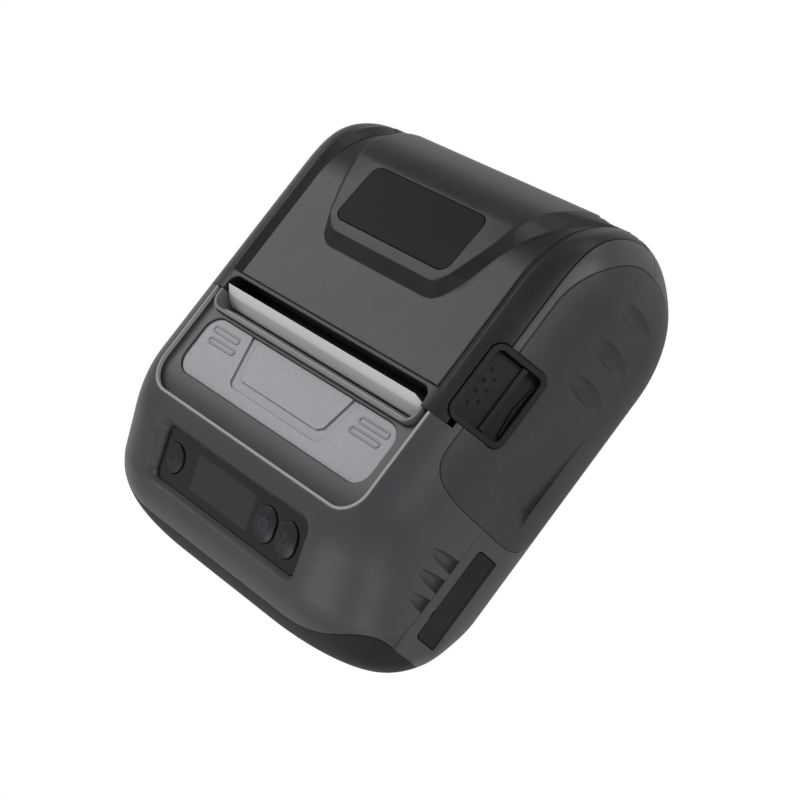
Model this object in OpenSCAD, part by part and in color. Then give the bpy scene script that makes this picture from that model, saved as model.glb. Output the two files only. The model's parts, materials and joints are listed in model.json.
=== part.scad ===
// Portable thermal receipt printer: clamshell case, swing-up paper cover, thermal print
// mechanism, keys and display in the sloped nose, battery and boards in the base.
// X runs to the right, Y to the back, Z up; the origin lies under the middle of the case.

/* [Case] */
// Width of the case across its sides
case_w = 115; // [112:0.5:118]
// Length of the case from nose to back
case_l = 128; // [126:0.5:132]
// Height of the case top above the table
case_top = 56.5; // [55.5:0.25:57.5]
// Height that the rubber feet hold the case up
foot_h = 1.2; // [1:0.1:1.6]
// Wall of the case shells and of the cover
wall = 2.6; // [2.4:0.1:2.8]
// Height of the joint between upper and lower case
part_z = 31.5; // [31:0.25:32]
// Distance from the nose to the back edge of the rubber bumper
bumper_l = 12; // [10:0.5:13]
// Height of the bumper's top edge
bumper_top = 38.5; // [36:0.25:39]
// Gap between neighbouring outer pieces
seam = 0.15; // [0.1:0.05:0.2]
// Radius of each rubber foot
foot_r = 4; // [3:0.25:4.5]

/* [Paper] */
// Width of the paper
paper_w = 79.4; // [78:0.2:80]
// Thickness of the paper
paper_t = 0.1; // [0.08:0.02:0.12]
// Radius of a full paper roll
roll_r = 20.8; // [19:0.2:21]
// Outer radius of the cardboard core
core_r = 8; // [7.5:0.25:9]
// Wall of the cardboard core
core_wall = 1.6; // [1.2:0.2:2]

/* [Cover] */
// Width of the swing-up cover
cover_w = 97.7; // [97:0.1:98.4]
// Depth of the sunk field in the cover
field_depth = 1.4; // [1:0.1:1.6]
// Half width of the sunk field in the cover
field_half = 40.1; // [39.8:0.1:40.6]
// Width of the dark channel beside the sunk field
channel_w = 0.8; // [0.5:0.1:1]
// Radius of the hinge barrel
hinge_r = 3.4; // [3.2:0.1:3.5]
// Radius of the hinge pin
hinge_pin_r = 1.25; // [1:0.05:1.5]
// Half width of the window in the cover
window_half = 21.8; // [20:0.2:23]
// Length of the window in the cover
window_l = 17.9; // [16:0.1:18.4]

/* [Nose] */
// Half width of the sunk area around the front plate
apron_half = 43.5; // [43:0.1:44]
// Depth of the sunk area around the front plate
apron_depth = 2.1; // [1.8:0.1:2.4]
// Half width of the front plate
plate_half = 39; // [37:0.25:40]
// Half width of the display lens
lens_half = 30.2; // [29:0.1:31]
// Length of the display lens up the slope
lens_l = 14.6; // [14:0.1:15.2]
// Slope of the display lens
lens_tilt = 26; // [24:0.5:28]
// Radius of the power button
power_r = 4; // [3.6:0.1:4.2]
// Width of the oval buttons
oval_w = 7.6; // [7:0.1:7.8]
// Length of the oval buttons
oval_l = 9.4; // [8.6:0.1:9.6]
// Travel of the buttons
key_travel = 0.6; // [0.4:0.1:0.6]

/* [Mechanism] */
// Radius of the rubber platen roller
platen_r = 4.2; // [4:0.1:4.3]
// Radius of the platen shaft
shaft_r = 1.5; // [1.3:0.1:1.8]
// Tooth module of the gear train
gear_module = 0.5; // [0.48:0.01:0.5]
// Teeth of the gear on the platen shaft
platen_teeth = 13; // [12:1:13]
// Teeth of the idler gear
idler_teeth = 36; // [34:1:36]
// Teeth of the motor pinion
pinion_teeth = 12; // [11:1:12]
// Face width of the gears
gear_w = 2; // [1.6:0.1:2]
// Radius of the stepper motor
motor_r = 10; // [9:0.25:10]
// Length of the stepper motor
motor_l = 14; // [12:0.5:15]
// Length of the battery pack across the case
battery_w = 60; // [56:1:61]
// Depth of the battery pack from front to back
battery_l = 38; // [36:0.5:38]
// Thickness of the battery pack
battery_t = 14.5; // [13:0.25:14.5]
// Thickness of the circuit boards
board_t = 1.6; // [1.2:0.1:1.6]

/* [Hidden] */
$fn = 48;

slate = [0.33, 0.33, 0.36];
coal = [0.14, 0.14, 0.15];
steel = [0.72, 0.73, 0.75];
board_green = [0.10, 0.35, 0.20];
far = 200;

half_w = case_w / 2;
y_front = -case_l / 2;
y_back = case_l / 2;
z_low = foot_h;

// Side outline of the case, run through from the back foot over the top to the nose
back_z = 29.6;
back_low_y = 29.7;
back_top_y = 28.3;
crown_y = -25;
crown_r = 40;
crown_turn = 30;
nose_z = 28.9;
nose_top = [23.2, 20.8];
nose_low_y = 29.5;
ridge_y = 9.2;

function bow(cy, cz, ry, rz, from, to, steps, first = 0) = [
    for (i = [first:steps])
        let (a = from + (to - from) * i / steps)
        [cy + ry * cos(a), cz + rz * sin(a), atan2(sin(a) / rz, cos(a) / ry)]
];
ridge_turn = acos((ridge_y - nose_top[0]) / nose_top[0]);
raw_outline = concat(
    bow(y_back - back_low_y, back_z, back_low_y, back_z - z_low, -90, 0, 9),
    bow(y_back - back_top_y, back_z, back_top_y, case_top - back_z, 0, 90, 9, 1),
    bow(crown_y, case_top - crown_r, crown_r, crown_r, 90, 90 + crown_turn, 4),
    bow(y_front + nose_top[0], nose_z, nose_top[0], nose_top[1], ridge_turn, 180, 7),
    bow(y_front + nose_low_y, nose_z, nose_low_y, nose_z - z_low, 180, 270, 9, 1)
);
function unwrap(a) = a < -90.01 ? a + 360 : a;
outline = [for (p = raw_outline) [p[0], p[1], unwrap(p[2])]];

// How far the rounding of the sides reaches in, and how deep it cuts the side outline,
// at every 45 degrees from the bottom round the back, top and nose to the bottom again
side_reach = [15, 17, 14, 12, 18, 25, 38, 25, 15];
side_depth = [19, 17, 22, 20, 24, 20, 10, 14, 19];
function blend(list, angle) =
    let (s = (angle + 90) / 45, i = min(floor(s), 7), f = s - i)
    list[i] + (list[i + 1] - list[i]) * (1 - cos(180 * f)) / 2;
rib_steps = 7;
crest = 18;
rib_angles = concat([for (i = [0:rib_steps]) [-1, 90 - 90 * i / rib_steps]],
                    [for (i = [0:rib_steps]) [1, 90 * i / rib_steps]]);

// One point of the case surface, laid in by t
function skin_point(p, side, turn, t) =
    let (reach = blend(side_reach, p[2]), depth = blend(side_depth, p[2]))
    let (inward = depth - (depth - t) * cos(turn))
    [side * (half_w - reach + (reach - t) * sin(turn)),
     p[0] - inward * cos(p[2]), p[1] - inward * sin(p[2])];

// The closed body of the case, laid in by t all round
module form(t) {
    n = len(outline);
    m = len(rib_angles);
    points = [for (p = outline) for (r = rib_angles) skin_point(p, r[0], r[1], t)];
    quads = [for (i = [0:n - 1]) for (j = [0:m - 2])
        let (k = (i + 1) % n)
        each [[i * m + j, i * m + j + 1, k * m + j], [i * m + j + 1, k * m + j + 1, k * m + j]]];
    ends = [[for (i = [0:crest]) i], [0, crest, crest + 1, n - 1],
            concat([n - 2, n - 1], [for (i = [crest + 1:n - 3]) i])];
    left = [for (e = ends) [for (i = e) i * m]];
    right = [for (e = ends) [for (k = [len(e) - 1:-1:0]) e[(k + 1) % len(e)] * m + m - 1]];
    polyhedron(points, concat(quads, left, right), convexity = 4);
}

module along_x(x0, x1) translate([x0, 0, 0]) rotate([90, 0, 90]) linear_extrude(x1 - x0) children();
module block(low, high) translate(low) cube(high - low);

// The outline of the case, laid in by t, run straight from side to side
module inside(t, half = far)
    along_x(-half, half) polygon([for (p = outline) [p[0] - t * cos(p[2]), p[1] - t * sin(p[2])]]);

// A rectangle with round corners, centred, w across and l long
module round_rect(w, l, r) {
    square([w - 2 * r, l], center = true);
    square([w, l - 2 * r], center = true);
    for (x = [-1, 1], y = [-1, 1]) translate([x * (w / 2 - r), y * (l / 2 - r)]) circle(r);
}
module plan_prism(low, high, r, z0, z1)
    translate([(low[0] + high[0]) / 2, (low[1] + high[1]) / 2, z0])
        linear_extrude(z1 - z0) round_rect(high[0] - low[0], high[1] - low[1], r);
module rod_x(x0, x1, r, y = 0, z = 0)
    translate([x0, y, z]) rotate([0, 90, 0]) cylinder(r = r, h = x1 - x0);
module on_both_sides() {
    children();
    mirror([1, 0, 0]) children();
}

// Hinge of the cover
hinge_y = y_back - 4.5;
hinge_z = 37;
knuckle_in = 28;
knuckle_out = 36;
pin_fit = 0.03;
barrel_half = 44.4;
swing_gap = 0.3;
mouth_low = hinge_z - hinge_r - 2 * swing_gap;

// Front edge of the cover and the slot that the paper leaves by
seam_y = -3.3;
slot_half = paper_w / 2 + 0.5;
slot_front = -8;
slot_back = 1.6;
slot_corner = 3;
rim_w = 1;
rim_proud = 0.2;
cover_half = cover_w / 2;
opening_half = cover_half + swing_gap;

// Inserts in the sides
insert_t = 1.5;
insert_y = [-4.2, 34];
insert_z = 31;
insert_run = [12.7, 22.5];
insert_rise = 20.3;
insert_power = [4, 2.2];
function curl(v, power) = sign(v) * pow(abs(v), 2 / power);
module insert_outline(grow = 0) {
    polygon(concat(
        [for (a = [-90:9:90])
            [insert_y[1] + (insert_run[1] + grow) * curl(cos(a), insert_power[1]),
             insert_z + (insert_rise + grow) * curl(sin(a), insert_power[1])]],
        [for (a = [90:9:270])
            [insert_y[0] + (insert_run[0] + grow) * curl(cos(a), insert_power[0]),
             insert_z + (insert_rise + grow) * curl(sin(a), insert_power[0])]]));
}
module insert_seat(grow) difference() {
    along_x(half_w - 14, far) insert_outline(grow);
    form(insert_t);
}

// Cover latch on the right shoulder: its own frame lies on the slope of the shoulder,
// with x down the slope, y to the back and z out of the case
latch_tilt = 51.9;
latch_at = [half_w - 6.6, 9.25, 48.75];
latch_len = 15.9;
latch_w = 21.5;
latch_r = 3;
latch_rim = 1.5;
latch_proud = 1.2;
latch_deep = 3;
latch_travel = 2.5;
latch_hole = [latch_len - 2 * latch_rim, latch_w - 2 * latch_rim];
module at_latch() translate(latch_at) rotate([0, latch_tilt, 0]) children();
module latch_cut(gap, z0, z1) at_latch() translate([0, 0, z0]) linear_extrude(z1 - z0)
    round_rect(latch_len + 2 * gap, latch_w + 2 * gap, latch_r + gap);

// Display panel on the slope of the nose: x to the right, y up the slope, z out of it
lens_at = [0, -46.4, 47.3];
lens_t = 1.5;
lens_r = 2;
lens_ledge = 1.5;
pad_under = 3.5;
dish_rim = 4;
key_row = -0.1;
power_x = -25;
settings_x = 15.1;
feed_x = 23.7;
key_gap = 0.2;
module at_lens() translate(lens_at) rotate([lens_tilt, 0, 0]) children();
module oval(w, l) {
    square([w, l - w], center = true);
    for (s = [-1, 1]) translate([0, s * (l - w) / 2]) circle(w / 2);
}

// Front plate in its seat
plate_r = 5;
plate_depth = apron_depth + 0.5;
plate_t_front = 1;
plate_y = [-27.3, slot_front - rim_w - 0.8];
apron_y = -34.5;
apron_r = 8;
bar_at = [30.6, -13.1];
bar_step = [-0.9, -3.1];
bar_size = [11.2, 1.9];
bar_line = 0.4;
u_top = 23.4;
u_foot = 18.6;
u_low = -22.4;
u_width = 2.6;
engraving = 0.4;

// Base: battery bay, boards, posts and screws
floor_z = z_low + wall;
battery_mid = 1;
battery_x = [battery_mid - battery_w / 2, battery_mid + battery_w / 2];
battery_y = [4 - battery_l, 4];
bay_gap = 0.3;
door_t = 2.2;
door_rim = 1.4;
battery_z = z_low + door_t + bay_gap;
board_z = battery_z + battery_t + 1;
board_x = [-30, 50];
board_y = [-50, -10];
post_r = 2;
front_screw = [38, -46];
rear_screw = [49.8, 44];
screw_spots = [front_screw, rear_screw];
post_roots = [5.5, 9.5];
post_top = 47;
screw_post_r = 3.4;
screw_well_r = 2.5;
screw_head_r = 2.3;
screw_head_t = 1.4;
screw_r = 1.1;
screw_head_z = 14;
screw_end_z = 36;
foot_spot = [39, 29];
foot_seat = 0.8;

// Print mechanism
platen_y = -1;
platen_z = 42.5;
mesh_turn = 8;
idler_gap = gear_module * (platen_teeth + idler_teeth) / 2;
pinion_gap = gear_module * (idler_teeth + pinion_teeth) / 2;
idler_y = platen_y + idler_gap * sin(mesh_turn);
idler_z = platen_z - idler_gap * cos(mesh_turn);
pinion_turn = 41.3;
pinion_y = idler_y - pinion_gap * sin(pinion_turn);
pinion_z = idler_z - pinion_gap * cos(pinion_turn);
plate_t = 1.2;
frame_half = 46;
frame_front = -14;
frame_back = 6.5;
frame_z = 24;
gear_x = -frame_half - 0.4 - gear_w;
arm_half = 43.3;
arm_t = 2;
bush_r = 2.6;
head_y = platen_y - platen_r - 2 * paper_t;
head_t = 1.1;
head_half = 42;
sink_t = 3.4;
pivot_y = head_y - head_t - 2.2;
pivot_z = 34;
pivot_r = 1;

// Paper roll, its tray and guides
roll_y = 32.5;
roll_z = 29.5;
tray_gap = 0.3;
tray_t = 1.5;
tray_half = 44.6;
tray_outer_r = roll_r + tray_gap + tray_t;
tray_from = 228;
tray_to = 352;
guide_r = 15;
guide_t = 1.6;
guide_gap = 0.5;
hub_r = core_r - core_wall - 0.3;
hub_l = 2.2;

// Port cover in the right side
port_y = [-46.4, -21.3];
port_z = [19.6, 27.6];
port_t = 1.4;
port_hinge_r = 0.7;
port_gap = 0.3;
port_r = 1.5;
jack_y = -40;
usb_y = -28;
jack_z = board_z + board_t + 3.2;

module screw_posts(z0, z1) for (i = [0, 1], x = [-1, 1])
    translate([x * screw_spots[i][0], screw_spots[i][1], z0[i]])
        cylinder(r = screw_post_r, h = z1 - z0[i]);

module flute(y, tip_z, lean) translate([half_w + 0.7, y, part_z])
    rotate([lean, -9, 0]) cylinder(r1 = 2.1, r2 = 0.5, h = tip_z - part_z);
flute_spots = [[-28.3, 42.3, 0], [-33.9, 41.9, 0], [-39.6, 40.1, 0]];

module knuckle_neck() along_x(knuckle_in, knuckle_out) polygon([
    [hinge_y - hinge_r, part_z], [y_back - wall + 0.6, part_z], [y_back - wall + 0.6, part_z + 1.6],
    [hinge_y + 0.5, hinge_z], [hinge_y - hinge_r, hinge_z]]);

// side view of the room the bumper takes, with a rounded top corner
module bumper_zone(grow = 0) along_x(-far, far) polygon(concat(
    [[-far, -far], [y_front + bumper_l - seam + grow, -far]],
    [for (a = [0:15:90])
        [y_front + bumper_l - seam + grow - bumper_r * (1 - cos(a)), bumper_top + grow - bumper_r * (1 - sin(a))]],
    [[-far, bumper_top + grow]]));

module upper_case() color(slate) difference() {
    union() {
        intersection() {
            difference() {
                form(0);
                form(wall);
            }
            block([-far, -far, part_z], [far, far, far]);
        }
        // floor of the sunk area round the front plate
        intersection() {
            difference() {
                inside(apron_depth - 0.6);
                inside(apron_depth + wall);
            }
            plan_prism([-apron_half - 1.5, apron_y - 1.5, 0], [apron_half + 1.5, seam_y, 0],
                       apron_r, part_z, far);
        }
        // seat under the display lens
        at_lens() translate([0, 0, -pad_under]) linear_extrude(pad_under + 0.4)
            round_rect(2 * lens_half + 6, lens_l + 6, lens_r + 3);
        screw_posts([part_z, part_z], post_top);
        on_both_sides() knuckle_neck();
        on_both_sides() rod_x(knuckle_in, knuckle_out, hinge_r, hinge_y, hinge_z);
    }
    // mouth for the cover, with a round edge below its hinge barrel
    difference() {
        block([-opening_half, seam_y, hinge_z], [opening_half, far, far]);
        on_both_sides() rod_x(knuckle_in, knuckle_out, hinge_r, hinge_y, hinge_z);
        on_both_sides() knuckle_neck();
    }
    for (side = [0, 1]) mirror([side, 0, 0]) {
        block([-0.1, hinge_y, mouth_low], [knuckle_in - swing_gap, far, hinge_z + 1]);
        block([knuckle_out + swing_gap, hinge_y - 1.4, mouth_low], [opening_half, far, hinge_z + 1]);
        block([knuckle_in - 1, hinge_y + hinge_r, mouth_low], [knuckle_out + 1, far, hinge_z + 1]);
    }
    on_both_sides() rod_x(-1, knuckle_out + 1, hinge_pin_r, hinge_y, hinge_z);
    for (s = screw_spots, x = [-1, 1]) translate([x * s[0], s[1], part_z - 1])
        cylinder(r = screw_r, h = screw_end_z - part_z + 2);
    // slot for the paper, sunk front area, groove for its trim, seat of the front plate
    plan_prism([-slot_half - rim_w, slot_front - rim_w, 0], [slot_half + rim_w, slot_back + 9, 0],
               slot_corner, part_z, far);
    difference() {
        plan_prism([-apron_half, apron_y, 0], [apron_half, far, 0], apron_r, part_z, far);
        inside(apron_depth);
    }
    difference() {
        plan_prism([-plate_half, plate_y[0], 0], [plate_half, plate_y[1], 0], plate_r, part_z, far);
        inside(plate_depth + plate_t_front);
    }
    // dish, seat and hole of the display
    at_lens() hull() {
        translate([0, 0, 0.02]) linear_extrude(0.02) round_rect(2 * lens_half, lens_l, lens_r);
        translate([0, 0, dish_rim]) linear_extrude(0.02)
            round_rect(2 * lens_half + 8, lens_l + 7, lens_r + 4);
    }
    at_lens() translate([0, 0, -lens_t]) linear_extrude(lens_t + 1)
        round_rect(2 * lens_half, lens_l, lens_r);
    at_lens() translate([0, 0, -pad_under - 5]) linear_extrude(pad_under + 5)
        round_rect(2 * lens_half - 0.8, lens_l - 2 * lens_ledge, lens_r);
    bumper_zone(seam);
    on_both_sides() insert_seat(seam);
    latch_cut(seam, -latch_deep - seam, far);
    latch_cut(-latch_rim, -far / 10, far);
    on_both_sides() for (f = flute_spots) flute(f[0], f[1], f[2]);
}

module front_plate() color([0.58, 0.58, 0.62]) difference() {
    intersection() {
        difference() {
            inside(plate_depth);
            inside(plate_depth + plate_t_front);
        }
        plan_prism([-plate_half + seam, plate_y[0] + seam, 0],
                   [plate_half - seam, plate_y[1] - seam, 0], plate_r, part_z, far);
    }
    difference() {
        union() {
            on_both_sides() for (i = [0, 1])
                translate([bar_at[0] + i * bar_step[0], bar_at[1] + i * bar_step[1], 0])
                    linear_extrude(far) difference() {
                        round_rect(bar_size[0], bar_size[1], 0.6);
                        round_rect(bar_size[0] - 2 * bar_line, bar_size[1] - 2 * bar_line, 0.3);
                    }
            linear_extrude(far) difference() {
                polygon([[-u_top - u_width / 2, 0], [-u_foot - u_width / 2 + 1, u_low - 0.3],
                         [-u_foot + 1.2, u_low - u_width / 2], [u_foot - 1.2, u_low - u_width / 2],
                         [u_foot + u_width / 2 - 1, u_low - 0.3], [u_top + u_width / 2, 0]]);
                polygon([[-u_top + u_width / 2, 0.1], [-u_foot + u_width / 2, u_low + u_width],
                         [-u_foot + u_width + 0.6, u_low + u_width / 2],
                         [u_foot - u_width - 0.6, u_low + u_width / 2],
                         [u_foot - u_width / 2, u_low + u_width], [u_top - u_width / 2, 0.1]]);
            }
        }
        inside(plate_depth + engraving);
    }
}

module apron_outline(inset) intersection() {
    translate([0, (apron_y + trim_run + inset) / 2])
        round_rect(2 * (apron_half - inset), trim_run - apron_y - inset, apron_r - inset);
    translate([-far, -far]) square([2 * far, far + seam_y]);
}

trim_w = 0.7;
trim_run = 20;
trim_t = 1.2;
module accent_trim() color([0.66, 0.66, 0.69]) intersection() {
    difference() {
        form(0.02);
        form(trim_t);
    }
    translate([0, 0, part_z]) linear_extrude(far) difference() {
        apron_outline(0);
        apron_outline(trim_w);
    }
}

// Bezel round the front half of the paper slot; its inner wall slopes to the tear edge
lip_y = head_y - 0.9;
lip_z = 49.6;
bezel_low = 48.6;
module slot_ring(r) plan_prism([-slot_half - r, slot_front - r, 0], [slot_half + r, slot_back + r, 0],
                               slot_corner + r, bezel_low, case_top + rim_proud - 0.4);
module paper_exit_bezel() color([0.50, 0.50, 0.53]) union() {
    difference() {
        slot_ring(rim_w - seam);
        slot_ring(0);
        block([-far, seam_y, 0], [far, far, far]);
    }
    intersection() {
        along_x(-slot_half, slot_half) polygon([
            [slot_front - rim_w, bezel_low], [lip_y, bezel_low], [lip_y, lip_z],
            [slot_front, case_top - 1.2], [slot_front - rim_w, case_top - 1.2]]);
        slot_ring(rim_w - seam);
    }
}

tear_teeth = 52;
tear_t = 0.4;
tear_half = slot_half - slot_corner - 0.5;
tear_lean = atan2(lip_y - slot_front, case_top - 1.2 - lip_z);
module tear_bar() color(steel) translate([0, lip_y, lip_z]) rotate([90 + tear_lean, 0, 0])
    translate([0, 0, -tear_t]) linear_extrude(tear_t) polygon(concat(
        [[-tear_half, 5]],
        [for (i = [0:2 * tear_teeth]) [tear_half * (i / tear_teeth - 1), i % 2 == 0 ? 1.2 : 0.5]],
        [[tear_half, 5]]));

// Raised housing of the window on the cover: half width, y and z of its foot and top edge
hump_low = [[24, 19.3, 54.4], [28.5, 29, 54.4], [32.5, 40, 54], [35, 50, 50.6], [36.5, 58, 43.4]];
hump_top = [[22, 24.9, 57.3], [24, 28, 57.8], [28.2, 38.2, 57], [30.2, 45.3, 56.4],
            [31.6, 50, 54.6], [33, 55, 50.6], [34, 60, 44.2]];
hump_hollow = 2.2;
hump_edge = 0.3;
module hump() difference() {
    hull() for (side = [-1, 1], p = concat(hump_low, hump_top))
        translate([side * p[0], p[1], p[2] - hump_edge]) sphere(hump_edge, $fn = 12);
    inside(hump_hollow);
}
window_at = [0, 36.25, 57.1];
window_lean = -4.6;
window_t = 1.2;
window_r = 3;
window_lip = 1.5;
tab_z = 53.8;
tab_t = 0.8;

module slot_mouth(z0)
    plan_prism([-slot_half, slot_front, 0], [slot_half, slot_back, 0], slot_corner, z0, far);
module cover_shell() difference() {
    union() {
        intersection() {
            difference() {
                form(0);
                form(wall);
            }
            union() {
                block([-cover_half, seam_y + seam, hinge_z], [cover_half, far, far]);
                block([-cover_half, hinge_y, hinge_z - 0.8], [cover_half, far, far]);
            }
        }
        // floor of the sunk field
        intersection() {
            difference() {
                inside(field_depth - 0.5);
                inside(field_depth + wall);
            }
            block([-field_half - 1.5, seam_y + seam, hinge_z], [field_half + 1.5, far, far]);
        }
    }
    // sunk field with a deeper channel along its sides and front
    difference() {
        block([-field_half, slot_back + rim_w, hinge_z + 3], [field_half, far, far]);
        inside(field_depth);
    }
    difference() {
        block([-field_half, slot_back + rim_w, hinge_z + 3], [field_half, far, far]);
        block([-field_half + channel_w, slot_back + rim_w + channel_w, 0],
              [field_half - channel_w, far, far]);
        inside(field_depth + channel_deep);
    }
}

channel_deep = 0.7;
module top_cover() color(coal) difference() {
    union() {
        cover_shell();
        hump();
        // rim of the paper slot
        difference() {
            plan_prism([-slot_half - rim_w, slot_front - rim_w, 0],
                       [slot_half + rim_w, slot_back + rim_w, 0], slot_corner + rim_w,
                       case_top - 3.4, case_top + rim_proud - 0.4);
            block([-far, -far, 0], [far, seam_y + seam, far]);
        }
        rod_x(-barrel_half, barrel_half, hinge_r, hinge_y, hinge_z);
    }
    slot_mouth(part_z);
    // seat and hole of the window
    translate(window_at) rotate([window_lean, 0, 0]) {
        translate([0, 0, -window_t]) linear_extrude(far)
            round_rect(2 * window_half, window_l, window_r);
        translate([0, 0, -10]) linear_extrude(far)
            round_rect(2 * (window_half - window_lip), window_l - 2 * window_lip, window_r - 1);
    }
    // gaps for the knuckles of the case, bore for the pin
    on_both_sides()
        rod_x(knuckle_in - swing_gap, knuckle_out + swing_gap, hinge_r + 0.8, hinge_y, hinge_z);
    rod_x(-far, far, hinge_pin_r + pin_fit, hinge_y, hinge_z);
    // notch for the latch; the tab in front of it is cut thin
    difference() {
        latch_cut(swing_gap, -latch_deep - 3, far);
        block([-far, -far, -far], [far, seam_y + seam + tab_t, far]);
    }
    block([latch_at[0] - 9, -far, 0], [far, latch_at[1], tab_z]);
}
module cover_window() color([0.08, 0.08, 0.09]) translate(window_at) rotate([window_lean, 0, 0])
    translate([0, 0, -window_t]) linear_extrude(window_t)
        round_rect(2 * window_half - 2 * seam, window_l - 2 * seam, window_r);

// Frame inside the cover: cross bar behind the slot and the two arms that hold the platen
inner_top = case_top - field_depth - wall - 0.2;
bar_y = [1.8, 9];
module cover_inner_frame() color([0.2, 0.2, 0.21]) difference() {
    union() {
        block([-arm_half, bar_y[0], inner_top - 1.6], [arm_half, bar_y[1], inner_top]);
        block([-arm_half, bar_y[0], platen_z + platen_r + 0.6], [arm_half, bar_y[0] + 1.3, inner_top]);
        for (x = [-arm_half, arm_half - arm_t]) {
            along_x(x, x + arm_t) polygon([
                [bar_y[1], inner_top], [bar_y[0], inner_top], [platen_y - bush_r, platen_z + 3.5],
                [platen_y - bush_r, platen_z], [platen_y + bush_r, platen_z]]);
            rod_x(x, x + arm_t, bush_r + 1, platen_y, platen_z);
        }
    }
    rod_x(-far, far, bush_r, platen_y, platen_z);
}
module platen_bushes() color([0.85, 0.82, 0.7]) on_both_sides() difference() {
    union() {
        rod_x(arm_half - arm_t, arm_half, bush_r, platen_y, platen_z);
        rod_x(arm_half, arm_half + 0.8, bush_r + 0.6, platen_y, platen_z);
    }
    rod_x(0, far, shaft_r + 0.05, platen_y, platen_z);
}
module platen_shaft() color(steel) rod_x(gear_x - 0.3, frame_half - 0.5, shaft_r, platen_y, platen_z);
module platen_roller() color([0.12, 0.12, 0.12]) difference() {
    rod_x(-paper_w / 2 - 0.6, paper_w / 2 + 0.6, platen_r, platen_y, platen_z);
    rod_x(-far, far, shaft_r, platen_y, platen_z);
}

// Gear with straight-sided teeth, one tooth standing at the angle start
tooth_tip = 0.9;
tooth_root = 1.2;
tooth_share = [0.37, 0.27, 0.12];
module gear_outline(teeth, start) {
    pitch = gear_module * teeth / 2;
    step = 360 / teeth;
    polygon([for (i = [0:teeth - 1]) let (a = start + i * step) each [
        for (q = [[pitch - tooth_root * gear_module, -tooth_share[0]], [pitch, -tooth_share[1] + 0.05],
                  [pitch + tooth_tip * gear_module, -tooth_share[2]],
                  [pitch + tooth_tip * gear_module, tooth_share[2]],
                  [pitch, tooth_share[1] - 0.05], [pitch - tooth_root * gear_module, tooth_share[0]]])
            [q[0] * cos(a + q[1] * step), q[0] * sin(a + q[1] * step)]]]);
}
module gear(teeth, start, bore, y, z) translate([gear_x, y, z]) rotate([90, 0, 90])
    linear_extrude(gear_w) difference() {
        gear_outline(teeth, start);
        circle(bore);
    }
// Directions from each gear to the next in the train, as angles in the side view
to_idler = -90 + mesh_turn;
to_pinion = -90 - pinion_turn;
idler_start = to_idler + 180 + 180 / idler_teeth;
module platen_gear() color([0.9, 0.9, 0.88]) gear(platen_teeth, to_idler, shaft_r, platen_y, platen_z);
stud_r = 1.5;
module idler_gear() color([0.9, 0.9, 0.88]) gear(idler_teeth, idler_start, stud_r + 0.06, idler_y, idler_z);
module idler_stud() color(steel) union() {
    rod_x(-frame_half - 0.3, -frame_half + plate_t, stud_r + 0.8, idler_y, idler_z);
    rod_x(gear_x - 0.4, -frame_half, stud_r, idler_y, idler_z);
    rod_x(gear_x - 1, gear_x - 0.3, stud_r + 0.8, idler_y, idler_z);
}
// The pinion starts with a gap where the idler has a tooth
pinion_phase = (to_pinion - idler_start) * idler_teeth / 360;
pinion_start = to_pinion + 180 + (0.5 + pinion_phase - floor(pinion_phase)) * 360 / pinion_teeth;
motor_shaft_r = 1;
module motor_pinion() color([0.8, 0.7, 0.4])
    gear(pinion_teeth, pinion_start, motor_shaft_r, pinion_y, pinion_z);
module stepper_motor() color([0.55, 0.56, 0.58]) difference() {
    union() {
        rod_x(-frame_half + plate_t, -frame_half + plate_t + motor_l, motor_r, pinion_y, pinion_z);
        rod_x(-frame_half - 0.2, -frame_half + plate_t + motor_l + 1, motor_shaft_r + 1.5,
              pinion_y, pinion_z);
        block([-frame_half + plate_t + 2, pinion_y - 5, pinion_z - motor_r - 1.2],
              [-frame_half + plate_t + 11, pinion_y + 5, pinion_z]);
    }
    rod_x(-far, far, motor_shaft_r + 0.05, pinion_y, pinion_z);
}
module motor_shaft() color(steel)
    rod_x(gear_x - 0.2, -frame_half + plate_t + motor_l + 2, motor_shaft_r, pinion_y, pinion_z);

// Steel frame of the mechanism: cross plate, front wall and a side plate at each end
frame_top = 46;
module side_plate(low) polygon([
    [frame_front, low], [frame_back, low], [frame_back + 1, platen_z - 4], [platen_y + 5.2, frame_top],
    [platen_y + bush_r + 1.6, frame_top - 1], [platen_y + bush_r + 1.4, platen_z - bush_r - 1.2],
    [platen_y - bush_r - 1.2, platen_z - bush_r - 1.2], [platen_y - bush_r - 1.6, frame_top],
    [frame_front, frame_top]]);
module head_frame() color([0.62, 0.63, 0.65]) difference() {
    union() {
        block([-frame_half, frame_front, frame_z], [frame_half, frame_back, frame_z + plate_t]);
        block([-frame_half, frame_front, frame_z], [frame_half, frame_front + plate_t, frame_top]);
        along_x(-frame_half, -frame_half + plate_t) side_plate(frame_z);
        along_x(frame_half - plate_t, frame_half) side_plate(frame_z);
        rod_x(-frame_half, -frame_half + plate_t, motor_r + 1, pinion_y, pinion_z);
    }
    rod_x(-far, far, pivot_r, pivot_y, pivot_z);
    rod_x(-far, 0, stud_r + 0.8, idler_y, idler_z);
    rod_x(-far, -frame_half + plate_t + 0.1, motor_shaft_r + 1.5, pinion_y, pinion_z);
    block([-frame_half + plate_t, frame_front - 1, frame_z - 1],
          [-frame_half + plate_t + motor_l + 0.3, pinion_y + motor_r + 0.4, pinion_z + motor_r + 0.3]);
}
module head_pivot_pin() color(steel) rod_x(-frame_half - 0.2, frame_half + 0.2, pivot_r, pivot_y, pivot_z);
module print_head() color([0.35, 0.2, 0.14]) union() {
    block([-head_half, head_y - head_t, 36], [head_half, head_y - 0.4, 46.4]);
    block([-paper_w / 2 + 0.4, head_y - 0.5, platen_z - 0.8],
          [paper_w / 2 - 0.4, head_y, platen_z + 0.8]);
}
fin_step = 7.4;
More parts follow.
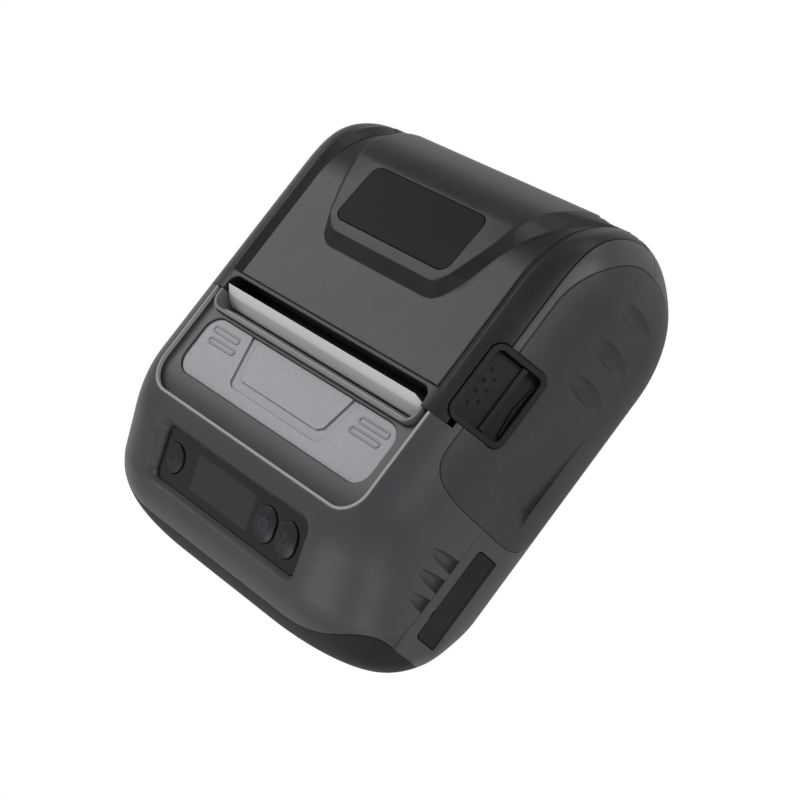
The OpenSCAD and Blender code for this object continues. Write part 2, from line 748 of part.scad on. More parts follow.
fin_gap = 4.5;
module heat_sink() color([0.75, 0.76, 0.78]) difference() {
    union() {
        block([-head_half, head_y - head_t - sink_t, 36], [head_half, head_y - head_t, 45.8]);
        for (x = [-head_half, head_half - 3]) rod_x(x, x + 3, 2.2, pivot_y, pivot_z);
        for (x = [-head_half, head_half - 3])
            block([x, pivot_y - 2.2, pivot_z], [x + 3, pivot_y + 2.2, 37]);
    }
    rod_x(-far, far, pivot_r + 0.05, pivot_y, pivot_z);
    for (i = [0:9]) translate([-36 + i * fin_step, head_y - head_t - sink_t - 1, 40])
        cube([fin_gap, 2.6, far]);
}
spring_spots = [-22, 22];
spring_front = frame_front + plate_t;
spring_back = head_y - head_t - sink_t - 0.7;
module head_springs() color(steel) for (x = spring_spots) translate([x - 5, 0, 0])
    rotate([90, 0, 90]) linear_extrude(10) polygon([
        [spring_front, 30], [spring_front + 0.4, 30], [spring_front + 0.4, 36], [spring_back, 40],
        [spring_back, 41], [spring_front + 0.5, 44.5], [spring_front, 44.2], [spring_back - 0.5, 40.7],
        [spring_back - 0.5, 40.2], [spring_front, 36.3]]);
module paper_sensor() color([0.1, 0.1, 0.1]) union() {
    block([-4, 1.2, frame_z + plate_t], [4, 4.6, frame_z + plate_t + 1.4]);
    block([-2.2, 1.8, frame_z + plate_t + 1.4], [2.2, 4, frame_z + plate_t + 2]);
}

module paper_roll() color([0.93, 0.93, 0.92]) difference() {
    rod_x(-paper_w / 2, paper_w / 2, roll_r, roll_y, roll_z);
    rod_x(-far, far, core_r, roll_y, roll_z);
}
module roll_core() color([0.62, 0.48, 0.33]) difference() {
    rod_x(-paper_w / 2, paper_w / 2, core_r, roll_y, roll_z);
    rod_x(-far, far, core_r - core_wall, roll_y, roll_z);
}

// The paper leaves the lower front of the roll, passes under the platen and up to the slot
strip_gap = 0.04;
strip_bend = platen_r + strip_gap;
strip_roll = roll_r + strip_gap;
strip_span = norm([platen_y - roll_y, platen_z - roll_z]);
strip_dir = atan2(platen_z - roll_z, platen_y - roll_y) + acos((strip_roll - strip_bend) / strip_span);
paper_out = [-1.6, 56];
paper_edge = [lip_y + 0.75, lip_z + 0.4];
curl_out = 0.5;
strip_path = concat(
    [[roll_y + strip_roll * cos(strip_dir), roll_z + strip_roll * sin(strip_dir)]],
    [for (i = [0:4]) let (a = strip_dir + (180 - strip_dir) * i / 4)
        [platen_y + strip_bend * cos(a), platen_z + strip_bend * sin(a)]],
    [for (i = [0:6]) let (s = i / 6)
        [paper_edge[0] + (paper_out[0] - paper_edge[0]) * (s + curl_out * 0.25 * (s * s - s)),
         paper_edge[1] + (paper_out[1] - paper_edge[1]) * s]]);
function side_of(path, i, t) =
    let (a = path[max(i - 1, 0)], b = path[min(i + 1, len(path) - 1)], d = b - a, l = norm(d))
    path[i] + [d[1], -d[0]] * (-t / l);
module paper_strip() color([0.95, 0.95, 0.95]) along_x(-paper_w / 2, paper_w / 2)
    polygon(concat(strip_path, [for (i = [len(strip_path) - 1:-1:0]) side_of(strip_path, i, paper_t)]));

// Tray under the roll
module paper_tray() color([0.16, 0.16, 0.17]) difference() {
    union() {
        along_x(-tray_half, tray_half) polygon(concat(
            [for (i = [0:24]) let (a = tray_from + (tray_to - tray_from) * i / 24)
                [roll_y + (roll_r + tray_gap) * cos(a), roll_z + (roll_r + tray_gap) * sin(a)]],
            [for (i = [24:-1:0]) let (a = tray_from + (tray_to - tray_from) * i / 24)
                [roll_y + tray_outer_r * cos(a), roll_z + tray_outer_r * sin(a)]]));
        on_both_sides() along_x(tray_half, tray_half + tray_t) difference() {
            translate([roll_y, roll_z]) circle(tray_outer_r + 0.4);
            polygon([[-far, -far], [roll_y - 15, -far], [roll_y - 15, far], [-far, far]]);
            polygon([[far, -far], [roll_y + 13, -far], [roll_y + 13, far], [far, far]]);
            translate([-far, roll_z + 9]) square([2 * far, far]);
        }
    }
}
module paper_guide() union() {
    rod_x(paper_w / 2 + guide_gap, paper_w / 2 + guide_gap + guide_t, guide_r, roll_y, roll_z);
    rod_x(paper_w / 2 + guide_gap - hub_l, paper_w / 2 + guide_gap + 0.1, hub_r, roll_y, roll_z);
    block([paper_w / 2 + guide_gap, roll_y - 5, roll_z - roll_r + 0.6],
          [paper_w / 2 + guide_gap + guide_t, roll_y + 5, roll_z]);
}
module left_paper_guide() color([0.2, 0.2, 0.22]) mirror([1, 0, 0]) paper_guide();
module right_paper_guide() color([0.2, 0.2, 0.22]) paper_guide();

// Lower case: shell with battery bay, posts, ribs under the tray, seats and wells
tray_ribs = [-36, 36];
bumper_r = 6;
frame_post = [41.5, 4.9];
board_posts = [[46, -14, 3.2], [46, -46, 6.8], [-26, -46, 5.2]];
jack_hole_r = 4.2;
usb_hole = [10, 4.4];
module tray_outer(grow) rod_x(-far, far, tray_outer_r + grow, roll_y, roll_z);
module lower_case() color(slate) difference() {
    union() {
        intersection() {
            difference() {
                form(0);
                form(wall);
            }
            block([-far, y_front + bumper_l, -far], [far, far, part_z - seam]);
        }
        screw_posts(post_roots, part_z - seam);
        for (x = [-1, 1]) translate([x * frame_post[0], frame_post[1], floor_z - 1])
            cylinder(r = 1.6, h = frame_z - floor_z + 1);
        for (p = board_posts) translate(p) cylinder(r = post_r, h = board_z - p[2]);
        difference() {
            for (x = tray_ribs) block([x - 1, roll_y - 12, floor_z - 1], [x + 1, roll_y + 12, roll_z - 12]);
            tray_outer(0.05);
        }
        // walls of the battery bay
        difference() {
            block([battery_x[0] - bay_gap - 1.2, battery_y[0] - bay_gap - 1.2, floor_z - 0.5],
                  [battery_x[1] + bay_gap + 1.2, battery_y[1] + bay_gap + 1.2, battery_z + 6]);
            block([battery_x[0] - bay_gap, battery_y[0] - bay_gap, 0],
                  [battery_x[1] + bay_gap, battery_y[1] + bay_gap, far]);
        }
    }
    // mouth of the battery bay: a wide seat for the door, then the hole for the pack
    block([battery_x[0] - door_rim - bay_gap, battery_y[0] - door_rim - bay_gap, -far],
          [battery_x[1] + door_rim + bay_gap, battery_y[1] + door_rim + bay_gap, z_low + door_t + 0.1]);
    block([battery_x[0] - bay_gap, battery_y[0] - bay_gap, -far],
          [battery_x[1] + bay_gap, battery_y[1] + bay_gap, far / 10]);
    block([battery_mid - tongue_w / 2 - bay_gap, battery_y[1], -far],
          [battery_mid + tongue_w / 2 + bay_gap, battery_y[1] + door_rim + tongue_l + bay_gap,
           z_low + tongue_z + tongue_t + bay_gap]);
    for (x = [-1, 1], y = [-1, 1]) translate([x * foot_spot[0], y * foot_spot[1], -1])
        cylinder(r = foot_r + 0.05, h = z_low + foot_seat + 1);
    for (s = screw_spots, x = [-1, 1]) translate([x * s[0], s[1], -1]) {
        cylinder(r = screw_well_r, h = screw_head_z + screw_head_t + 1);
        cylinder(r = screw_r + 0.15, h = part_z + 2);
    }
    on_both_sides() insert_seat(seam);
    // seat of the port cover and the two holes behind it
    along_x(half_w - port_t - 0.2, far)
        translate([(port_y[0] + port_y[1]) / 2, (port_z[0] + port_z[1] - port_gap) / 2])
            round_rect(port_y[1] - port_y[0] + 2 * port_gap, port_z[1] - port_z[0] + 3 * port_gap, port_r);
    rod_x(half_w - 10, far, jack_hole_r, jack_y, jack_z);
    along_x(half_w - 10, far) translate([usb_y, jack_z - 0.9]) round_rect(usb_hole[0], usb_hole[1], 1);
    on_both_sides() for (f = flute_spots) flute(f[0], f[1], f[2]);
}
module front_bumper() color([0.09, 0.09, 0.1]) union() {
    intersection() {
        difference() {
            form(0);
            form(wall);
        }
        bumper_zone();
    }
}
module side_insert() difference() {
    intersection() {
        difference() {
            form(0);
            form(insert_t);
        }
        along_x(half_w - 14, far) insert_outline(0);
    }
    block([0, seam_y, hinge_z], [opening_half, far, far]);
    // three finger grooves, each a slim spindle sunk in the side
    for (d = dimples) translate([half_w + dimple_out, d[0], d[1]]) rotate([0, dimple_lean, 0]) spindle();
    // shallow pocket that runs out to the back
    translate([0, 0, pocket_z[0]]) linear_extrude(pocket_z[1] - pocket_z[0]) polygon([
        [half_w + 1, pocket_y[0]], [half_w, pocket_y[0]], [half_w - pocket_deep, pocket_y[1]],
        [half_w, pocket_y[2]], [half_w + 1, pocket_y[2]]]);
}
dimples = [[45.3, 31.1], [34.3, 30.5], [24, 29.9]];
dimple_lean = -3.4;
dimple_half = 14.5;
dimple_r = 3.4;
dimple_out = 2.5;
pocket_y = [-10.3, -4.5, 17];
pocket_z = [20.3, 40.5];
pocket_deep = 0.9;
module spindle() {
    bow_r = (dimple_half * dimple_half + dimple_r * dimple_r) / (2 * dimple_r);
    rotate_extrude() intersection() {
        translate([dimple_r - bow_r, 0]) circle(bow_r, $fn = 96);
        translate([0, -far]) square([far, 2 * far]);
    }
}
module left_side_insert() color([0.2, 0.2, 0.21]) mirror([1, 0, 0]) side_insert();
module right_side_insert() color([0.2, 0.2, 0.21]) difference() {
    side_insert();
    latch_cut(seam, -latch_deep - 3, far);
}

// Latch: frame in the shoulder and the sliding catch with its grip
catch_plate = [-6.2, 2.3];
catch_z = [-2.1, -1.1];
ledge = [0.9, 2.4];
ledge_z = 0.6;
nub_r = 0.45;
nub_rows = [[-4.6, [-5.2, -2, 1.2, 4.4]], [-2.6, [-3.6, -0.4, 2.8]]];
stem = [-3, -1];
stem_half = 3;
stem_deep = 5;
module latch_bezel() color([0.12, 0.13, 0.17]) at_latch() difference() {
    translate([0, 0, -latch_deep]) linear_extrude(latch_deep + latch_proud)
        round_rect(latch_len, latch_w, latch_r);
    translate([0, 0, -latch_deep + 0.7]) linear_extrude(far)
        round_rect(latch_hole[0], latch_hole[1], latch_r - latch_rim);
    block([stem[0] - 0.25, -stem_half - 0.25, -far],
          [stem[1] + latch_travel + 0.25, stem_half + 0.25, 0]);
}
module open_latch() color([0.1, 0.11, 0.14]) at_latch() union() {
    translate([(catch_plate[0] + catch_plate[1]) / 2, 0, catch_z[0]])
        linear_extrude(catch_z[1] - catch_z[0])
            round_rect(catch_plate[1] - catch_plate[0], latch_hole[1] - 0.5, latch_r - latch_rim - 0.3);
    block([ledge[0], -latch_hole[1] / 2 + 0.3, catch_z[0]], [ledge[1], latch_hole[1] / 2 - 0.3, ledge_z]);
    for (row = nub_rows, y = row[1]) translate([row[0], y, catch_z[1] - 0.1])
        cylinder(r1 = nub_r, r2 = nub_r * 0.6, h = 0.55, $fn = 24);
    block([stem[0], -stem_half, -stem_deep], [stem[1], stem_half, catch_z[0] + 0.1]);
}
module latch_spring() color(steel) at_latch() translate([0, 0, -latch_deep + 0.75]) linear_extrude(1.2)
    polygon([[6.35, -7], [6.35, -6.2], [5.55, 0], [6.35, 6.2], [6.35, 7], [5.95, 7], [5.15, 0],
             [5.95, -7]]);

// Display panel, its screen, the keys and their board
module display_lens() color([0.05, 0.05, 0.06]) at_lens() difference() {
    translate([0, 0, -lens_t]) linear_extrude(lens_t)
        round_rect(2 * (lens_half - seam), lens_l - 2 * seam, lens_r);
    translate([power_x, key_row, -far / 2]) cylinder(r = power_r + key_gap, h = far);
    for (x = [settings_x, feed_x]) translate([x, key_row, -far / 2])
        linear_extrude(far) oval(oval_w + 2 * key_gap, oval_l + 2 * key_gap);
}
screen = [[-16, -5.2], [9, 5.2]];
screen_t = 1.5;
module oled_display() color([0.02, 0.05, 0.1]) at_lens()
    block([screen[0][0], screen[0][1], -lens_t - screen_t - 0.1],
          [screen[1][0], screen[1][1], -lens_t - 0.1]);
key_proud = 0.5;
key_flange = 0.5;
key_flange_t = 0.6;
dome_r = 16;
module round_key() translate([power_x, key_row, 0]) {
    intersection() {
        translate([0, 0, -lens_t - 0.3]) cylinder(r = power_r, h = 4);
        translate([0, 0, key_proud + 0.5 - dome_r]) sphere(dome_r, $fn = 96);
    }
    translate([0, 0, -lens_t - 0.05 - key_flange_t]) cylinder(r = power_r + key_flange, h = key_flange_t);
}
module oval_key(x) translate([x, key_row, 0]) {
    intersection() {
        translate([0, 0, -lens_t - 0.3]) linear_extrude(4) oval(oval_w, oval_l);
        translate([0, 0, key_proud + 0.5 - dome_r]) sphere(dome_r, $fn = 96);
    }
    translate([0, 0, -lens_t - 0.05 - key_flange_t]) linear_extrude(key_flange_t)
        round_rect(oval_w + 0.4, oval_l + 2 * key_flange, 3);
}
module power_button() color([0.1, 0.1, 0.11]) at_lens() round_key();
module settings_button() color([0.1, 0.1, 0.11]) at_lens() oval_key(settings_x);
module feed_button() color([0.1, 0.1, 0.11]) at_lens() oval_key(feed_x);
key_board_t = 1.2;
module key_board() color(board_green) at_lens()
    block([-lens_half - 1, -6.2, -pad_under - key_board_t - 0.05],
          [lens_half + 1, 6.2, -pad_under - 0.05]);
switch_r = 1.6;
module key_switches() color([0.3, 0.3, 0.3]) at_lens() for (x = [power_x, settings_x, feed_x]) {
    translate([x, key_row, -pad_under - 0.05])
        cylinder(r = switch_r, h = pad_under - lens_t - key_flange_t - key_travel - 0.15);
}

// Boards and sockets in the base
module main_board() color(board_green) difference() {
    block([board_x[0], board_y[0], board_z], [board_x[1], board_y[1], board_z + board_t]);
    on_both_sides() translate([front_screw[0], front_screw[1], 0]) cylinder(r = screw_post_r + 0.5, h = far);
}
module board_chips() color([0.1, 0.1, 0.1]) for (c = chips)
    translate([c[0], c[1], board_z + board_t]) cube([c[2], c[3], c[4]]);
chips = [[-8, -34, 12, 12, 1.4], [12, -30, 7, 7, 1], [22, -22, 9, 5, 2.6], [-22, -24, 8, 8, 1.6],
         [6, -46, 14, 3, 2]];
module wireless_module() color([0.75, 0.76, 0.78]) union() {
    translate([-28, -46, board_z + board_t]) cube([16, 10, 0.8]);
    translate([-24.5, -45.5, board_z + board_t + 0.8]) cube([11.5, 9, 1.8]);
}
module buzzer() color([0.08, 0.08, 0.08]) translate([30, -38, board_z + board_t]) difference() {
    cylinder(r = 4.5, h = 4);
    translate([0, 0, 2]) cylinder(r = 1, h = 3);
}
jack_back = 14;
module dc_jack() color([0.1, 0.1, 0.1]) difference() {
    block([half_w - port_t - 1.6 - jack_back, jack_y - 3.9, board_z + board_t],
          [half_w - port_t - 1.6, jack_y + 3.9, jack_z + 3.3]);
    rod_x(half_w - port_t - 10, far, 2.9, jack_y, jack_z);
}
usb_back = 8;
module usb_socket() color(steel) difference() {
    block([half_w - port_t - 1.6 - usb_back, usb_y - 4.2, board_z + board_t],
          [half_w - port_t - 1.6, usb_y + 4.2, jack_z + 0.6]);
    block([half_w - port_t - 7, usb_y - 3.7, jack_z - 2.6], [far, usb_y + 3.7, jack_z]);
}
pack_r = 3;
module battery_pack() color([0.18, 0.2, 0.24]) 
    translate([battery_mid, (battery_y[0] + battery_y[1]) / 2, battery_z])
    linear_extrude(battery_t) round_rect(battery_w, battery_l, pack_r);
module battery_connector() color([0.85, 0.7, 0.3]) union() {
    translate([-20, -12.6, board_z - 0.9]) cube([10, 2.2, 0.9]);
}
tongue_w = 8;
tongue_z = 0.9;
tongue_t = 0.7;
tongue_l = 1.2;
grip_l = 5;
grip_travel = 2;
module battery_door() color(slate) difference() {
    union() {
        block([battery_x[0] - door_rim, battery_y[0] - door_rim + door_t / 2, z_low],
              [battery_x[1] + door_rim, battery_y[1] + door_rim, z_low + door_t]);
        rod_x(battery_x[0] - door_rim, battery_x[1] + door_rim, door_t / 2,
              battery_y[0] - door_rim + door_t / 2, z_low + door_t / 2);
    }
    block([battery_mid - tongue_w / 2 - bay_gap,
           battery_y[1] + door_rim - grip_l - grip_travel - bay_gap, 0],
          [battery_mid + tongue_w / 2 + bay_gap, far, z_low + tongue_z + tongue_t + 0.1]);
}
module battery_latch() color([0.1, 0.1, 0.1]) union() {
    block([battery_mid - tongue_w / 2, battery_y[1] + door_rim - grip_l, z_low],
          [battery_mid + tongue_w / 2, battery_y[1] + door_rim - 0.1, z_low + tongue_z + tongue_t]);
    block([battery_mid - tongue_w / 2, battery_y[1], z_low + tongue_z],
          [battery_mid + tongue_w / 2, battery_y[1] + door_rim + tongue_l, z_low + tongue_z + tongue_t]);
}
module rubber_feet() color([0.08, 0.08, 0.08]) for (x = [-1, 1], y = [-1, 1])
    translate([x * foot_spot[0], y * foot_spot[1], 0]) cylinder(r = foot_r, h = z_low + foot_seat);
module case_screws() color(steel) for (s = screw_spots, x = [-1, 1])
  translate([x * s[0], s[1], 0]) difference() {
    union() {
        translate([0, 0, screw_head_z]) cylinder(r = screw_head_r, h = screw_head_t);
        translate([0, 0, screw_head_z + screw_head_t - 0.1])
            cylinder(r = screw_r, h = screw_end_z - screw_head_z - screw_head_t);
    }
    translate([-2, -0.35, screw_head_z - 1]) cube([4, 0.7, 1.6]);
    translate([-0.35, -2, screw_head_z - 1]) cube([0.7, 4, 1.6]);
}
module port_cover() color([0.1, 0.1, 0.1]) union() {
    along_x(half_w - port_t - 0.05, half_w - 0.05) difference() {
        translate([(port_y[0] + port_y[1]) / 2, (port_z[0] + port_z[1]) / 2])
            round_rect(port_y[1] - port_y[0], port_z[1] - port_z[0], port_r);
        translate([-far, -far]) square([2 * far, far + port_z[0] + port_hinge_r]);
    }
    translate([half_w - port_t / 2 - 0.05, port_y[1], port_z[0] + port_hinge_r]) rotate([90, 0, 0])
        cylinder(r = port_hinge_r, h = port_y[1] - port_y[0]);
}
module hinge_pin() color(steel) rod_x(-barrel_half + 0.4, barrel_half - 0.4, hinge_pin_r, hinge_y, hinge_z);

upper_case();
lower_case();
front_bumper();
front_plate();
accent_trim();
paper_exit_bezel();
tear_bar();
top_cover();
cover_window();
cover_inner_frame();
hinge_pin();
left_side_insert();
right_side_insert();
latch_bezel();
open_latch();
latch_spring();
display_lens();
oled_display();
power_button();
settings_button();
feed_button();
key_board();
key_switches();
port_cover();
dc_jack();
usb_socket();
main_board();
board_chips();
wireless_module();
buzzer();
battery_pack();
battery_connector();
battery_door();
battery_latch();
rubber_feet();
case_screws();
paper_tray();
left_paper_guide();
right_paper_guide();
paper_roll();
roll_core();
paper_strip();
head_frame();
head_pivot_pin();
print_head();
heat_sink();
head_springs();
platen_shaft();
platen_roller();
platen_bushes();
platen_gear();
idler_gear();
idler_stud();
stepper_motor();
motor_shaft();
motor_pinion();
paper_sensor();
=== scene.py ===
import json
import math
from functools import partial
import bpy
import bmesh
import numpy as np
from mathutils import Matrix, Vector

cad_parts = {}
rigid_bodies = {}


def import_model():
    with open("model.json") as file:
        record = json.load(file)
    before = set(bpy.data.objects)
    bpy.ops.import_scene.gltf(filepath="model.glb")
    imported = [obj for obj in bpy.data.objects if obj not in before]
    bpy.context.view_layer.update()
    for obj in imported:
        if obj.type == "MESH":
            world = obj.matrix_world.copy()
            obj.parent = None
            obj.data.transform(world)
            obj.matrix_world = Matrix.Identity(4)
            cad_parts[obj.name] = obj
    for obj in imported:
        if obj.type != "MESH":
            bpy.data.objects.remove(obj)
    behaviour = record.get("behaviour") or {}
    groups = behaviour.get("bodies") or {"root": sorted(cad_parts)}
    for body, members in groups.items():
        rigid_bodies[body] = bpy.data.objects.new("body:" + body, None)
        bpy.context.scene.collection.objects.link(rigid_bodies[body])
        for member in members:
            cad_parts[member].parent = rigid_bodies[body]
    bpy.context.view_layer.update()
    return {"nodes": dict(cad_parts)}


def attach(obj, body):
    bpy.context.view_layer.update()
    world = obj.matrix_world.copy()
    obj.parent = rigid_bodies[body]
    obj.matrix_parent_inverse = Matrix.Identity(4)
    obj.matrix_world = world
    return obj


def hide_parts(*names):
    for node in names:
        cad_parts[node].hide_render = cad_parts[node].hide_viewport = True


for spare in list(bpy.data.objects):
    bpy.data.objects.remove(spare)
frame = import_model()
print("frame loaded")

# Camera that saw the printer, worked out from its outline
cameraView = {
    "place": (0.317670, -0.052745, 0.366980),
    "right": (0.634213884, 0.598279356, -0.489729069),
    "up": (-0.383206457, 0.793379526, 0.472971182),
    "back": (0.671509912, -0.112297549, 0.732436823),
    "lens": 81.0, "filmHeight": 36.0, "clipStart": 0.01,
}
scene = bpy.context.scene
cameraData = bpy.data.cameras.new("viewCamera")
cameraData.sensor_fit = "VERTICAL"
cameraData.sensor_height = cameraView["filmHeight"]
cameraData.lens = cameraView["lens"]
cameraData.clip_start = cameraView["clipStart"]
camera = bpy.data.objects.new("viewCamera", cameraData)
scene.collection.objects.link(camera)
turn = Matrix((cameraView["right"], cameraView["up"], cameraView["back"])).transposed()
camera.matrix_world = Matrix.Translation(cameraView["place"]) @ turn.to_4x4()
scene.camera = camera

# Sizes that several pieces share, in millimetres
far = 200.0
case = {
    "halfWidth": 57.5, "front": -64.0, "back": 64.0, "top": 56.5, "foot": 1.2, "wall": 2.6,
    "partLine": 31.5, "gap": 0.15, "coverSeam": -3.3,
    "bumperEdge": -52.0, "bumperTop": 38.5, "bumperRound": 6,
    "arcSteps": 45, "ribSteps": 42,
    "sideReach": [15, 17, 14, 12, 18, 25, 38, 25, 15],
    "sideDepth": [19, 17, 22, 20, 24, 20, 10, 14, 19],
}
# Side view of the case: elliptic arcs from under the back, over the top, to under the nose
arcs = {"backMiddle": 29.6, "backLow": 29.7, "backHigh": 28.3, "browY": -25, "browR": 40,
        "noseMiddle": 28.9, "noseLow": 29.5, "noseHigh": 23.2, "noseRise": 20.8, "ridge": 9.2}
nose = {"lensAt": (0, -46.4, 47.3), "tilt": 26.0, "lensHalf": 30.2, "lensLength": 14.6, "lensThick": 1.5,
        "lensRound": 2.0, "ledge": 1.5, "dish": 4.0, "dishSteps": 16,
        "padUnder": 3.5, "padOver": 0.4, "padGrow": 6, "padRound": 5}
latch = {"at": (50.9, 9.25, 48.75), "tilt": 51.9, "length": 15.9, "width": 21.5, "round": 3.0, "fit": 0.15}
slot = {"half": 40.2, "front": -8.0, "back": 1.6, "round": 3.0, "rim": 1.0}
apron = {"half": 43.5, "front": -34.5, "round": 8.0, "depth": 2.1, "trim": 0.7}
plate = {"half": 39.0, "front": -27.3, "back": -9.8, "round": 5.0, "depth": 2.6, "thick": 1.0}
hinge = {"y": 59.5, "z": 37.0, "r": 3.4, "pin": 1.25, "knuckle": (28.0, 36.0), "barrel": 44.4, "gap": 0.3}
cover = {"half": 48.85, "mouth": 49.15, "fieldHalf": 40.1, "fieldDepth": 1.4, "channel": 0.45,
         "channelDeep": 0.35, "slope": 3.4, "slopeRise": 0.25}
insert = {"thick": 1.5, "y": (-4.2, 34.0), "z": 31.0, "run": (12.7, 22.5), "rise": 20.3,
          "power": (4.0, 2.2), "steps": 60, "innerX": 43.5}
flute = {"spots": [(-28.3, 42.3), (-33.9, 41.9), (-39.6, 40.1)], "x": 58.2, "lean": -9,
         "shape": [(2.1, 0), (1.75, 0.35), (1.2, 0.7), (0.6, 0.93), (0.25, 0.99)]}
screws = {"spots": [(38, -46), (49.8, 44)], "post": 3.4, "hole": 1.25, "holeRun": (4, 33),
          "head": 2.5, "headRun": (-1, 15.4)}
roll = {"y": 32.5, "z": 29.5, "winding": 0.3, "cradle": 22.65}
alongX = Matrix(((0, 0, 1, 0), (1, 0, 0, 0), (0, 1, 0, 0), (0, 0, 0, 1)))


def tilted(at, angle, axis):
    return Matrix.Translation(at) @ Matrix.Rotation(math.radians(angle), 4, axis)


lensFrame, latchFrame = tilted(nose["lensAt"], nose["tilt"], "X"), tilted(latch["at"], latch["tilt"], "Y")


# Small kit for making, cutting and joining solids, all in millimetres
def newSolid(points, faces):
    mesh = bpy.data.meshes.new("tool")
    mesh.from_pydata([tuple(p) for p in points], [], [tuple(f) for f in faces])
    mesh.update()
    solid = bpy.data.objects.new("tool", mesh)
    scene.collection.objects.link(solid)
    return solid


def combine(target, tools, how, solver="MANIFOLD"):
    for tool in tools:
        step = target.modifiers.new("step", "BOOLEAN")
        step.operation = how
        step.solver = solver
        step.object = tool
        graph = bpy.context.evaluated_depsgraph_get()
        mesh = bpy.data.meshes.new_from_object(target.evaluated_get(graph))
        target.modifiers.clear()
        worn = target.data
        target.data = mesh
        bpy.data.meshes.remove(worn)
        bpy.data.meshes.remove(tool.data)  # the tool goes with its mesh
    return target


def cut(target, *tools):
    return combine(target, tools, "DIFFERENCE")


def join(target, *tools):
    return combine(target, tools, "UNION")


def keepIn(target, *tools):
    return combine(target, tools, "INTERSECT")


def twin(solid):
    copy = bpy.data.objects.new("tool", solid.data.copy())
    scene.collection.objects.link(copy)
    return copy


def mirrored(solid):
    copy = twin(solid)
    copy.data.transform(Matrix.Diagonal((-1, 1, 1, 1)))
    copy.data.flip_normals()
    return copy


def pair(maker):
    first = maker()
    return [first, mirrored(first)]


def onSide(solid, side):
    # the solid itself on the right, its mirror image on the left
    if side > 0:
        return solid
    other = mirrored(solid)
    bpy.data.objects.remove(solid)
    return other


def placed(solid, matrix):
    solid.data.transform(matrix)
    return solid


def block(low, high):
    (x0, y0, z0), (x1, y1, z1) = low, high
    points = [(x, y, z) for z in (z0, z1) for y in (y0, y1) for x in (x0, x1)]
    faces = [(0, 2, 3, 1), (4, 5, 7, 6), (0, 1, 5, 4), (2, 6, 7, 3), (0, 4, 6, 2), (1, 3, 7, 5)]
    return newSolid(points, faces)


def prism(profile, z0, z1):
    x, y = np.array(profile).T
    if np.sum(x * np.roll(y, -1) - np.roll(x, -1) * y) < 0:
        profile = profile[::-1]
    n = len(profile)
    points = [(x, y, z0) for x, y in profile] + [(x, y, z1) for x, y in profile]
    faces = [tuple(range(n))[::-1], tuple(range(n, 2 * n))]
    faces += [(i, (i + 1) % n, n + (i + 1) % n, n + i) for i in range(n)]
    return newSolid(points, faces)


def bar(profile, x0, x1):
    return placed(prism(profile, x0, x1), alongX)


def circle(r, cx=0.0, cy=0.0, steps=64, start=0.0, stop=360.0):
    count = steps if stop - start >= 360 else steps + 1
    spots = [math.radians(start + (stop - start) * i / steps) for i in range(count)]
    return [(cx + r * math.cos(a), cy + r * math.sin(a)) for a in spots]


def rod(x0, x1, r, y, z):
    return bar(circle(r, y, z), x0, x1)


def post(r, z0, z1, x, y):
    return placed(prism(circle(r), z0, z1), Matrix.Translation((x, y, 0)))


def roundRect(w, l, r, cx=0.0, cy=0.0, steps=12):
    profile = []
    for k, (sx, sy) in enumerate(((1, 1), (-1, 1), (-1, -1), (1, -1))):
        profile += circle(r, cx + sx * (w / 2 - r), cy + sy * (l / 2 - r), steps, 90 * k, 90 * k + 90)
    return profile


def planPrism(low, high, r, z0, z1):
    middle = [(low[i] + high[i]) / 2 for i in (0, 1)]
    return prism(roundRect(high[0] - low[0], high[1] - low[1], r, *middle), z0, z1)


def loft(rings):
    n = len(rings[0])
    points = [p for ring in rings for p in ring]
    faces = [tuple(range(n))[::-1], tuple(range((len(rings) - 1) * n, len(rings) * n))]
    for k in range(len(rings) - 1):
        a, b = k * n, (k + 1) * n
        faces += [(a + i, a + (i + 1) % n, b + (i + 1) % n, b + i) for i in range(n)]
    return newSolid(points, faces)


def turned(profile, steps):
    # profile runs from the axis at the bottom to the axis at the top, as (radius, height)
    points, faces = [(0, 0, profile[0][1])], []
    spokes = [2 * math.pi * i / steps for i in range(steps)]
    for r, z in profile[1:-1]:
        points += [(r * math.cos(a), r * math.sin(a), z) for a in spokes]
    points.append((0, 0, profile[-1][1]))
    last = len(points) - 1
    rings = range(1, last, steps)
    for i in range(steps):
        j = (i + 1) % steps
        faces.append((0, 1 + j, 1 + i))
        faces += [(a + i, a + j, a + steps + j, a + steps + i) for a in rings[:-1]]
        faces.append((rings[-1] + i, rings[-1] + j, last))
    return newSolid(points, faces)


def ball(r, at, steps):
    half = steps // 2
    profile = [(r * math.sin(math.pi * i / half), -r * math.cos(math.pi * i / half)) for i in range(half + 1)]
    return placed(turned(profile, steps), Matrix.Translation(at))


def hullOf(points):
    work = bmesh.new()
    for p in points:
        work.verts.new(p)
    made = bmesh.ops.convex_hull(work, input=work.verts)
    spare = [v for v in made["geom_interior"] + made["geom_unused"] if isinstance(v, bmesh.types.BMVert)]
    bmesh.ops.delete(work, geom=list(set(spare)), context="VERTS")
    bmesh.ops.recalc_face_normals(work, faces=work.faces)
    solid = newSolid([], [])
    work.to_mesh(solid.data)
    work.free()
    return solid


# The rounded body of the case, as rings round its side view
def bow(cy, cz, ry, rz, start, stop, steps, first=0):
    a = np.radians(start + (stop - start) * np.arange(first, steps + 1) / steps)
    lean = np.degrees(np.arctan2(np.sin(a) / rz, np.cos(a) / ry))
    return np.stack([cy + ry * np.cos(a), cz + rz * np.sin(a), lean], 1)


